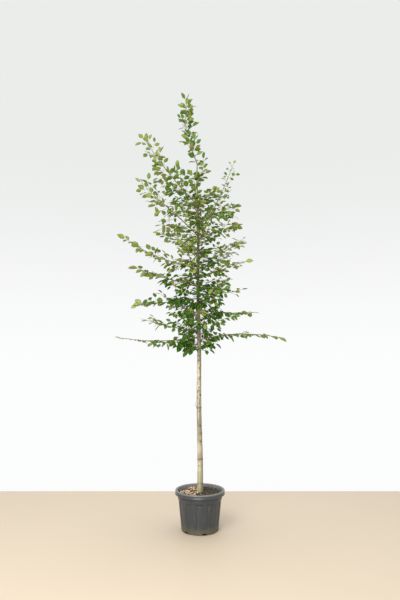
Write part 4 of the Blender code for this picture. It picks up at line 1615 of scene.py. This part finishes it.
# ------------------------------------------------------------------ the crown
@dataclass
class Crown:
    """The twigs, buds and leaves that the growth rule gives, each kind joined apart."""

    growth: Growth = field(default_factory=Growth)
    twig_bark: TwigBark = TwigBark("twig_bark")
    twig_sides: int = 6
    bud_bark: TwigBark = TwigBark("bud_scales", (0.17, 0.080, 0.040), (0.22, 0.150, 0.060))
    leaf_variation: float = 0.06
    bud_variation: float = 0.12
    seed: int = 7
    leaf_shapes: tuple[LeafShape, ...] = (
        LeafShape(),
        LeafShape(width=0.57, fold=0.12, droop=0.04),
        LeafShape(width=0.49, fold=0.28, droop=0.17, twist=0.25),
        LeafShape(width=0.54, fold=0.18, droop=0.13, twist=-0.30),
    )

    def build(self) -> None:
        """Grow the crown, then build its pieces."""
        for limb in ALL_LIMBS:
            self.growth.clothe(limb)
        self.growth.add_spurs()
        LOG.info("crown: %d leaves, %d twigs, %d buds", len(self.growth.leaves),
                 len(self.growth.twigs), len(self.growth.buds))
        masses = [f"foliage_{limb.name}" for limb in ALL_LIMBS]
        sprays = SprayTree()
        self._twigs(masses)
        self._buds(sprays, masses)
        group = shape_collection("leaf_shape", [shape.mesh("leaf_shape")
                                                for shape in self.leaf_shapes])
        for tint in Tint:
            self._leaves(sprays, group, tint, masses)
        drop_collection(group)

    def _twigs(self, masses: Sequence[str]) -> None:
        """Sweep all twigs into one piece."""
        host = line_host("twigs", self.growth.twigs)
        piece = LimbTree().run(host, {"Sides": self.twig_sides,
                                      "Material": self.twig_bark.material()})
        settle(piece, masses)

    def _buds(self, sprays: SprayTree, masses: Sequence[str]) -> None:
        """Put a bud in each axil and on each tip."""
        buds = self.growth.buds
        group = shape_collection("bud_shape", [BudShape().mesh("bud_shape")])
        host = point_host("buds", [bud.root for bud in buds], [bud.turn for bud in buds],
                          [bud.length for bud in buds])
        piece = sprays.run(host, {"Shapes": group, "Variation": self.bud_variation,
                                  "Seed": self.seed,
                                  "Material": self.bud_bark.material()})
        drop_collection(group)
        settle(piece, masses)

    def _leaves(self, sprays: SprayTree, group: bpy.types.Collection, tint: Tint,
                masses: Sequence[str]) -> None:
        """Put out the leaves of one tint."""
        leaves = [leaf for leaf in self.growth.leaves if leaf.tint is tint]
        host = point_host(tint.value.name, [leaf.root for leaf in leaves],
                          [leaf.turn for leaf in leaves], [leaf.length for leaf in leaves])
        piece = sprays.run(host, {"Shapes": group, "Variation": self.leaf_variation,
                                  "Seed": self.seed,
                                  "Material": tint.value.material()})
        settle(piece, masses)


# ------------------------------------------------------------------ the container
@dataclass
class Container:
    """The nursery container: a rolled lip, a collar, twelve sunk panels and six drain notches."""

    plastic: NurseryPlastic = NurseryPlastic("nursery_plastic")
    height: float = 0.278
    lip_radius: float = 0.1790
    lip_height: float = 0.030
    lip_bead: float = 0.0012
    collar_radius: float = 0.1605
    collar_bottom: float = 0.212
    body_top_radius: float = 0.1555
    foot_radius: float = 0.1335
    foot_round: float = 0.009
    wall: float = 0.0040
    floor: float = 0.014
    panel_count: int = 12
    panel_turn: float = math.radians(-91.5)
    panel_arc: float = math.radians(19.0)
    panel_depth: float = 0.0045
    panel_foot: float = 0.036
    panel_top: float = 0.208
    panel_edge: float = math.radians(0.6)
    notch_half_arc: float = math.radians(6.0)
    notch_sill: float = 0.002
    notch_depth: float = 0.020
    notch_height: float = 0.0145
    foot_steps: int = 5
    body_rings: int = 24
    ring_gap: float = 0.0016
    # The inner wall's rings carry a mark below 0, which paints them lighter as if lit.
    inner_rings: int = 9
    inner_wall_light: float = -0.65
    lip_shade: float = 0.55
    lip_shade_rings: tuple[int, int] = (8, 4)

    def build(self) -> None:
        settle(self._shell(), ["pot"])

    def body_radius(self, height: float) -> float:
        """Outer radius of the tapering body."""
        share = (height - self.foot_round) / (self.collar_bottom - self.foot_round)
        return self.foot_radius + (self.body_top_radius - self.foot_radius) * share

    def _profile(self) -> list[tuple[float, float]]:
        """Radius and height from the inside of the floor, over the lip, to under the foot."""
        lip_bottom = self.height - self.lip_height
        inner = [(self.body_radius(level) - self.wall - self.panel_depth, level)
                 for level in (self.floor, 0.08, 0.15, self.collar_bottom)]
        points = [*inner, (self.collar_radius - self.wall, lip_bottom)]
        points += self._arc((self.collar_radius + 0.0065, self.height - 0.0055), 0.0055,
                            180.0, 90.0, 4)
        points += self._arc((self.lip_radius - 0.007, self.height - 0.007), 0.007, 90.0, 0.0, 6)
        for share in (0.25, 0.5, 0.75):
            level = self.height - 0.007 + (lip_bottom + 0.009 - self.height + 0.007) * share
            points.append((self.lip_radius - 0.0014 * math.sin(math.pi * share), level))
        points += self._arc((self.lip_radius - 0.0035, lip_bottom + 0.0035),
                            0.0035 + self.lip_bead, 40.0, -90.0, 6)
        points += [(self.collar_radius + 0.002, lip_bottom + 0.0005),
                   (self.collar_radius, lip_bottom - 0.0015),
                   (self.collar_radius - 0.0006, self.collar_bottom + 0.018),
                   (self.collar_radius - 0.0012, self.collar_bottom + 0.005)]
        points += [(self.body_top_radius + 0.0014, self.collar_bottom + 0.0012),
                   (self.body_top_radius, self.collar_bottom - 0.001)]
        points += [(self.body_radius(level), level) for level in self._body_levels()]
        points += self._arc((self.foot_radius - self.foot_round, self.foot_round),
                            self.foot_round, 0.0, -90.0, self.foot_steps)
        points.append((self.foot_radius - 0.03, 0.0))
        return points

    def _body_levels(self) -> list[float]:
        """Heights of the body's rings, close together at the panels' ends and the notches."""
        step, count = self.ring_gap, self.body_rings
        ends = [self.panel_top + step, self.panel_top, self.panel_top - step,
                self.panel_top - 3 * step]
        low, high = self.panel_foot + 3 * step, self.panel_top - 4 * step
        middle = [high + (low - high) * index / count for index in range(count + 1)]
        foot = [self.panel_foot + step, self.panel_foot, self.panel_foot - step, 0.026, 0.018,
                self.notch_height + 0.0002, self.notch_height]
        return ends + middle + foot

    @staticmethod
    def _arc(centre: tuple[float, float], radius: float, start: float, end: float,
             steps: int) -> list[tuple[float, float]]:
        """Points of an arc, its angles in degrees."""
        angles = [math.radians(start + (end - start) * step / steps) for step in range(steps + 1)]
        return [(centre[0] + radius * math.cos(angle), centre[1] + radius * math.sin(angle))
                for angle in angles]

    def _columns(self) -> list[float]:
        """The angles of the shell's columns, close together at the panels' and notches' edges."""
        angles = []
        half, edge, notch = 0.5 * self.panel_arc, self.panel_edge, self.notch_half_arc
        pitch = math.tau / self.panel_count
        for index in range(self.panel_count):
            middle = self.panel_turn + index * pitch
            inside = [half * (2.0 * step / 10 - 1.0) * 0.97 for step in range(11)]
            outside = [half + edge, 0.5 * pitch - notch * 0.995, 0.5 * pitch - notch * 0.955,
                       0.5 * pitch - notch * 0.5, 0.5 * pitch]
            around = sorted({-half, half, *inside, *outside, *(-angle for angle in outside[:-1])})
            angles += [middle + angle for angle in around]
        return sorted(angles)

    def _sunk(self, angle: float, height: float) -> float:
        """How deep the panel is at a point of the body, with softened edges."""
        pitch = math.tau / self.panel_count
        turn = (angle - self.panel_turn + 0.5 * pitch) % pitch - 0.5 * pitch
        sides = 1.0 - smooth_step(0.5 * self.panel_arc - self.panel_edge,
                                  0.5 * self.panel_arc + self.panel_edge, abs(turn))
        ends = (smooth_step(self.panel_foot - 0.002, self.panel_foot + 0.002, height)
                * (1.0 - smooth_step(self.panel_top - 0.002, self.panel_top + 0.002, height)))
        return self.panel_depth * sides * ends

    def _crease_shade(self, angle: float, height: float) -> float:
        """How much painted shade lies in the corner under a panel's top edge, from 0 to 1."""
        inside = self._sunk(angle, self.panel_top - 0.004) / self.panel_depth
        return 0.45 * inside * math.exp(-((height - self.panel_top + 0.002) / 0.003) ** 2)

    def _in_notch(self, angle: float) -> bool:
        """Whether a column falls in one of the drain notches, at every other rib."""
        pitch = 2.0 * math.tau / self.panel_count
        turn = (angle - self.panel_turn - 0.25 * pitch + 0.5 * pitch) % pitch - 0.5 * pitch
        return abs(turn) < self.notch_half_arc * 0.97

    def _shell(self) -> bpy.types.Object:
        """Loft the profile round the columns, closing the floor inside and underneath."""
        profile, columns = self._profile(), self._columns()
        body_start = len(profile) - (self.foot_steps + 2) - len(self._body_levels())
        above, below = self.lip_shade_rings
        shaded = range(body_start - above, body_start - below)
        bag = Bag("container")
        for angle in columns:
            way = Vector((math.cos(angle), math.sin(angle), 0.0))
            for index, (radius, height) in enumerate(profile):
                reach = radius
                # The mark paints shade under the lip and light on the inner wall.
                hollow = self.lip_shade if index in shaded else 0.0
                if index < self.inner_rings:
                    hollow = self.inner_wall_light
                if index >= body_start:
                    reach -= self._sunk(angle, height)
                    hollow = self._crease_shade(angle, height)
                    # Painted shade: the notch's faces are painted near-black.
                    if self.notch_sill < height <= self.notch_height and self._in_notch(angle):
                        reach = min(reach, self.foot_radius - self.notch_depth)
                        hollow = 1.0
                bag.points.append(way * reach + UP * height)
                bag.marks.append(hollow)
        rows, count = len(profile), len(columns)
        for column in range(count):
            here, there = column * rows, (column + 1) % count * rows
            for row in range(rows - 1):
                bag.faces.append((here + row, here + row + 1, there + row + 1, there + row))
        inside, under = len(bag.points), len(bag.points) + 1
        bag.points += [UP * self.floor, Vector((0.0, 0.0, 0.0))]
        bag.marks += [0.0, 0.0]
        for column in range(count):
            here, there = column * rows, (column + 1) % count * rows
            bag.faces.append((inside, here, there))
            bag.faces.append((under, there + rows - 1, here + rows - 1))
        return bag.piece(self.plastic.material(), "hollow", math.radians(38))


# ------------------------------------------------------------------ the compost
class Mulch(Enum):
    """What lies on the compost, each with its finish."""

    PALE = Crumbs("chips_pale", (0.880, 0.680, 0.440), (0.620, 0.410, 0.210),
                  (0.920, 0.800, 0.600))
    RED = Crumbs("chips_red", (0.290, 0.095, 0.042), (0.150, 0.048, 0.025),
                 (0.400, 0.170, 0.085))
    DARK = Crumbs("chips_dark", (0.062, 0.038, 0.020), (0.022, 0.014, 0.008),
                  (0.250, 0.180, 0.095))
    MOSS = Crumbs("moss", (0.165, 0.190, 0.080), (0.070, 0.092, 0.034),
                  (0.310, 0.330, 0.180))


@dataclass(frozen=True)
class ChipShape:
    """A flat splinter of bark of unit length, with broken corners."""

    seed: int
    width: float = 0.55
    thickness: float = 0.26
    corners: int = 6

    def mesh(self, name: str) -> bpy.types.Mesh:
        """Build the chip as a rough closed slab."""
        rng = random.Random(self.seed)
        bm = bmesh.new()
        rings = []
        for level, shrink in ((-0.5, 0.72), (-0.15, 1.0), (0.25, 0.94), (0.5, 0.66)):
            ring = []
            for corner in range(self.corners):
                angle = math.tau * (corner + 0.5) / self.corners
                reach = shrink * (0.85 + 0.25 * random.Random(corner + self.seed * 17).random())
                ring.append(bm.verts.new((0.5 * math.cos(angle) * reach,
                                          0.5 * self.width * math.sin(angle) * reach,
                                          self.thickness * (level + rng.uniform(-0.08, 0.08)))))
            rings.append(ring)
        skin_rings(bm, rings)
        bm.faces.new(rings[-1])
        return finish_mesh(bm, name)


@dataclass
class Compost:
    """The compost's clodded surface and the bark chips, crumbs and moss strewn on it."""

    finish: Crumbs = Crumbs("compost", (0.048, 0.034, 0.023), (0.018, 0.013, 0.010),
                            (0.130, 0.095, 0.060), 60.0)
    level: float = 0.256
    flat_radius: float = 0.060
    fall: float = 0.007
    radius: float = 0.1560
    depth: float = 0.050
    taper: float = 0.0035
    rings: int = 46
    columns: int = 150
    clods: float = 0.0030
    bank: float = 0.010
    heap_rise: float = 0.004
    heap_radius: float = 0.022
    heap_width: float = 0.014
    strewn_from: float = 0.018
    strewn_margin: float = 0.006
    strewn_lift: float = 0.0006
    strewn_rings: int = 22
    strewn_columns: int = 72
    chip_shapes: tuple[ChipShape, ...] = (ChipShape(1), ChipShape(2, 0.40, 0.22),
                                          ChipShape(3, 0.70, 0.30), ChipShape(4, 0.30, 0.20))

    def build(self) -> None:
        """Build the surface and strew each kind of chip."""
        settle(self._surface(), ["soil"])
        group = shape_collection("chip_shape", [shape.mesh("chip_shape")
                                                for shape in self.chip_shapes])
        tree = CrumbTree()
        self._strew(tree, group, Mulch.PALE, 15000.0, (0.006, 0.017), 3)
        self._strew(tree, group, Mulch.RED, 9000.0, (0.006, 0.018), 5)
        self._strew(tree, group, Mulch.DARK, 15000.0, (0.005, 0.016), 8)
        self._strew(tree, group, Mulch.MOSS, 9000.0, (0.004, 0.009), 13)
        drop_collection(group)

    def _height(self, radius: float, angle: float) -> float:
        """The surface's height: a low dome with clods, drawn up a little round the stem."""
        x, y = radius * math.cos(angle), radius * math.sin(angle)
        dome = self.fall * smooth_step(self.flat_radius, self.radius, radius)
        rough = noise.fractal(Vector((x * 55.0, y * 55.0, 3.0)), 1.0, 2.0, 4) * self.clods
        edge = smooth_step(self.radius, self.radius - 0.012, radius)
        heap = self.heap_rise * math.exp(-((radius - self.heap_radius) / self.heap_width) ** 2)
        banked = self.bank * edge * smooth_step(0.0, 0.9, (0.35 * x + y) / self.radius)
        return self.level - dome + rough * edge + heap + banked

    def _surface(self) -> bpy.types.Object:
        """Build the closed plug of compost under its surface."""
        bag = Bag("compost_surface")
        bag.points.append(Vector((0.0, 0.0, self.level)))
        for ring in range(1, self.rings + 1):
            radius = self.radius * ring / self.rings
            bag.ring(radius, self.columns,
                     lambda angle, radius=radius: self._height(radius, angle))
        bag.ring(self.radius - self.taper, self.columns, lambda _angle: self.level - self.depth)
        for column in range(self.columns):
            bag.faces.append((0, 1 + column, 1 + (column + 1) % self.columns))
        bag.join_rings(1, self.columns)
        last = 1 + self.rings * self.columns
        bag.faces.append(tuple(last + column for column in reversed(range(self.columns))))
        return bag.piece(self.finish.material(), sharp_angle=math.radians(80))

    def _share(self, kind: Mulch, point: Vector) -> float:
        """How thickly a kind lies at a point: pale to the left, dark and mossy to the right."""
        left = smooth_step(0.03, -0.07, point.x)
        patch = 0.5 + 0.5 * noise.noise(point * 28.0 + Vector((kind.value.scale, 0.0, 7.0)))
        edge = 1.0 - smooth_step(self.radius - 0.010, self.radius - 0.005,
                                 math.hypot(point.x, point.y))
        patches = {
            Mulch.PALE: left * smooth_step(0.30, 0.62, patch) + 0.05 * patch,
            Mulch.RED: (0.14 + 0.50 * left) * smooth_step(0.40, 0.70, patch),
            Mulch.DARK: (1.0 - 0.75 * left) * patch,
            Mulch.MOSS: (1.0 - left) * smooth_step(0.38, 0.60, patch),
        }
        return patches[kind] * edge

    def _strew(self, tree: CrumbTree, group: bpy.types.Collection, kind: Mulch, density: float,
               sizes: tuple[float, float], seed: int) -> None:
        """Strew one kind over the surface.

        Args:
            tree: The tree that strews.
            group: The chips' shapes.
            kind: What is strewn.
            density: Most bits to a square metre.
            sizes: Smallest and largest length.
            seed: Chooses the places.
        """
        bag = Bag(kind.value.name)
        reach = self.radius - self.strewn_margin - self.strewn_from
        for ring in range(self.strewn_rings + 1):
            radius = self.strewn_from + reach * ring / self.strewn_rings
            bag.ring(radius, self.strewn_columns, lambda angle, radius=radius:
                     self._height(radius, angle) + self.strewn_lift)
        bag.join_rings(0, self.strewn_columns)
        bag.marks = [self._share(kind, point) for point in bag.points]
        host = bag.piece(self.finish.material(), "share")
        piece = tree.run(host, {"Shapes": group, "Density": density, "Smallest": sizes[0],
                                "Largest": sizes[1], "Seed": seed,
                                "Material": kind.value.material()})
        settle(piece, ["soil"])


# ------------------------------------------------------------------ the studio
@dataclass(frozen=True)
class Lamp:
    """One soft square lamp, aimed at a point."""

    name: str
    place: Point
    target: Point
    size: float
    power: float
    colour: Colour = (1.0, 1.0, 1.0)

    def light(self) -> None:
        """Add the lamp to the scene."""
        data = bpy.data.lights.new(self.name, "AREA")
        data.size = self.size
        data.energy = self.power
        data.color = self.colour
        lamp = place_object(self.name, data)
        lamp.location = self.place
        away = Vector(self.target) - Vector(self.place)
        lamp.rotation_euler = away.to_track_quat("-Z", "Y").to_euler()


@dataclass
class Studio:
    """A plain pale floor under soft light, before a near-white surround."""

    floor_colour: Colour = (0.600, 0.500, 0.385)
    floor_side: float = 4.0
    floor_front: float = -4.5
    floor_back: float = 1.02
    surround_low: Colour = (0.970, 0.975, 0.975)
    surround_high: Colour = (0.830, 0.845, 0.832)
    surround_rise: tuple[float, float] = (-0.02, 0.42)
    camera_place: Point = (0.0, -3.62, 1.198)
    camera_pitch: float = math.radians(97.24)
    lens: float = 28.8
    lamps: tuple[Lamp, ...] = (
        Lamp("key", (-1.6, -3.4, 3.9), (0.0, 0.0, 1.7), 2.0, 112.0, (1.0, 0.985, 0.95)),
        Lamp("fill", (-0.7, -3.9, 1.3), (0.0, 0.0, 1.7), 2.4, 95.0),
        Lamp("top", (0.3, 0.6, 5.4), (0.0, 0.0, 2.0), 2.6, 60.0),
    )

    def build(self) -> None:
        """Lay the floor, light it and set up the camera."""
        self._floor()
        self._surround()
        for lamp in self.lamps:
            lamp.light()
        self._camera()
        bpy.context.scene.view_settings.view_transform = "Standard"

    def _floor(self) -> None:
        """Lay the plain pale floor."""
        made = Shading("pale_floor")
        tone = made.grain(1.6, 2.0)
        paler = tuple(min(1.0, channel * 1.04) for channel in self.floor_colour)
        material = made.dress(base_color=made.blend(tone, self.floor_colour, paler), roughness=0.6)
        bag = Bag("floor")
        bag.points = [Vector((-self.floor_side, self.floor_front, 0.0)),
                      Vector((self.floor_side, self.floor_front, 0.0)),
                      Vector((self.floor_side, self.floor_back, 0.0)),
                      Vector((-self.floor_side, self.floor_back, 0.0))]
        bag.faces = [(0, 1, 2, 3)]
        bag.piece(material)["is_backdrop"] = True

    def _surround(self) -> None:
        """Give the surround its near-white, a little brighter towards the horizon."""
        world = bpy.data.worlds.new("surround")
        world.use_nodes = True
        bpy.context.scene.world = world
        tree = world.node_tree
        place = add_node(tree, "ShaderNodeTexCoord")
        apart = add_node(tree, "ShaderNodeSeparateXYZ", {}, {0: place.outputs["Generated"]})
        rise = add_node(tree, "ShaderNodeMapRange", {"interpolation_type": "SMOOTHSTEP"},
                        {"Value": apart.outputs["Z"], "From Min": self.surround_rise[0],
                         "From Max": self.surround_rise[1]})
        mix = add_node(tree, "ShaderNodeMix", {"data_type": "RGBA"},
                       {"Factor": rise.outputs[0], 6: (*self.surround_low, 1.0),
                        7: (*self.surround_high, 1.0)})
        tree.links.new(mix.outputs[2], tree.nodes["Background"].inputs["Color"])

    def _camera(self) -> None:
        """Set up the camera in front of the plant, a little above its middle and tilted up."""
        data = bpy.data.cameras.new("camera")
        data.lens = self.lens
        camera = place_object("camera", data)
        camera.location = self.camera_place
        camera.rotation_euler = (self.camera_pitch, 0.0, 0.0)
        bpy.context.scene.camera = camera


def write_sizes() -> None:
    """Gather the model's box and the dressed plant's box."""
    boxes = [[[float(value) for value in corner] for corner in box]
             for box in (cad_box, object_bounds())]


def main() -> None:
    """Build and dress the plant part by part."""
    logging.basicConfig(level=logging.INFO, format="%(name)s: %(message)s")
    Container().build()
    Compost().build()
    Wood().build()
    Crown().build()
    Studio().build()
    write_sizes()


if __name__ == "__main__":
    main()
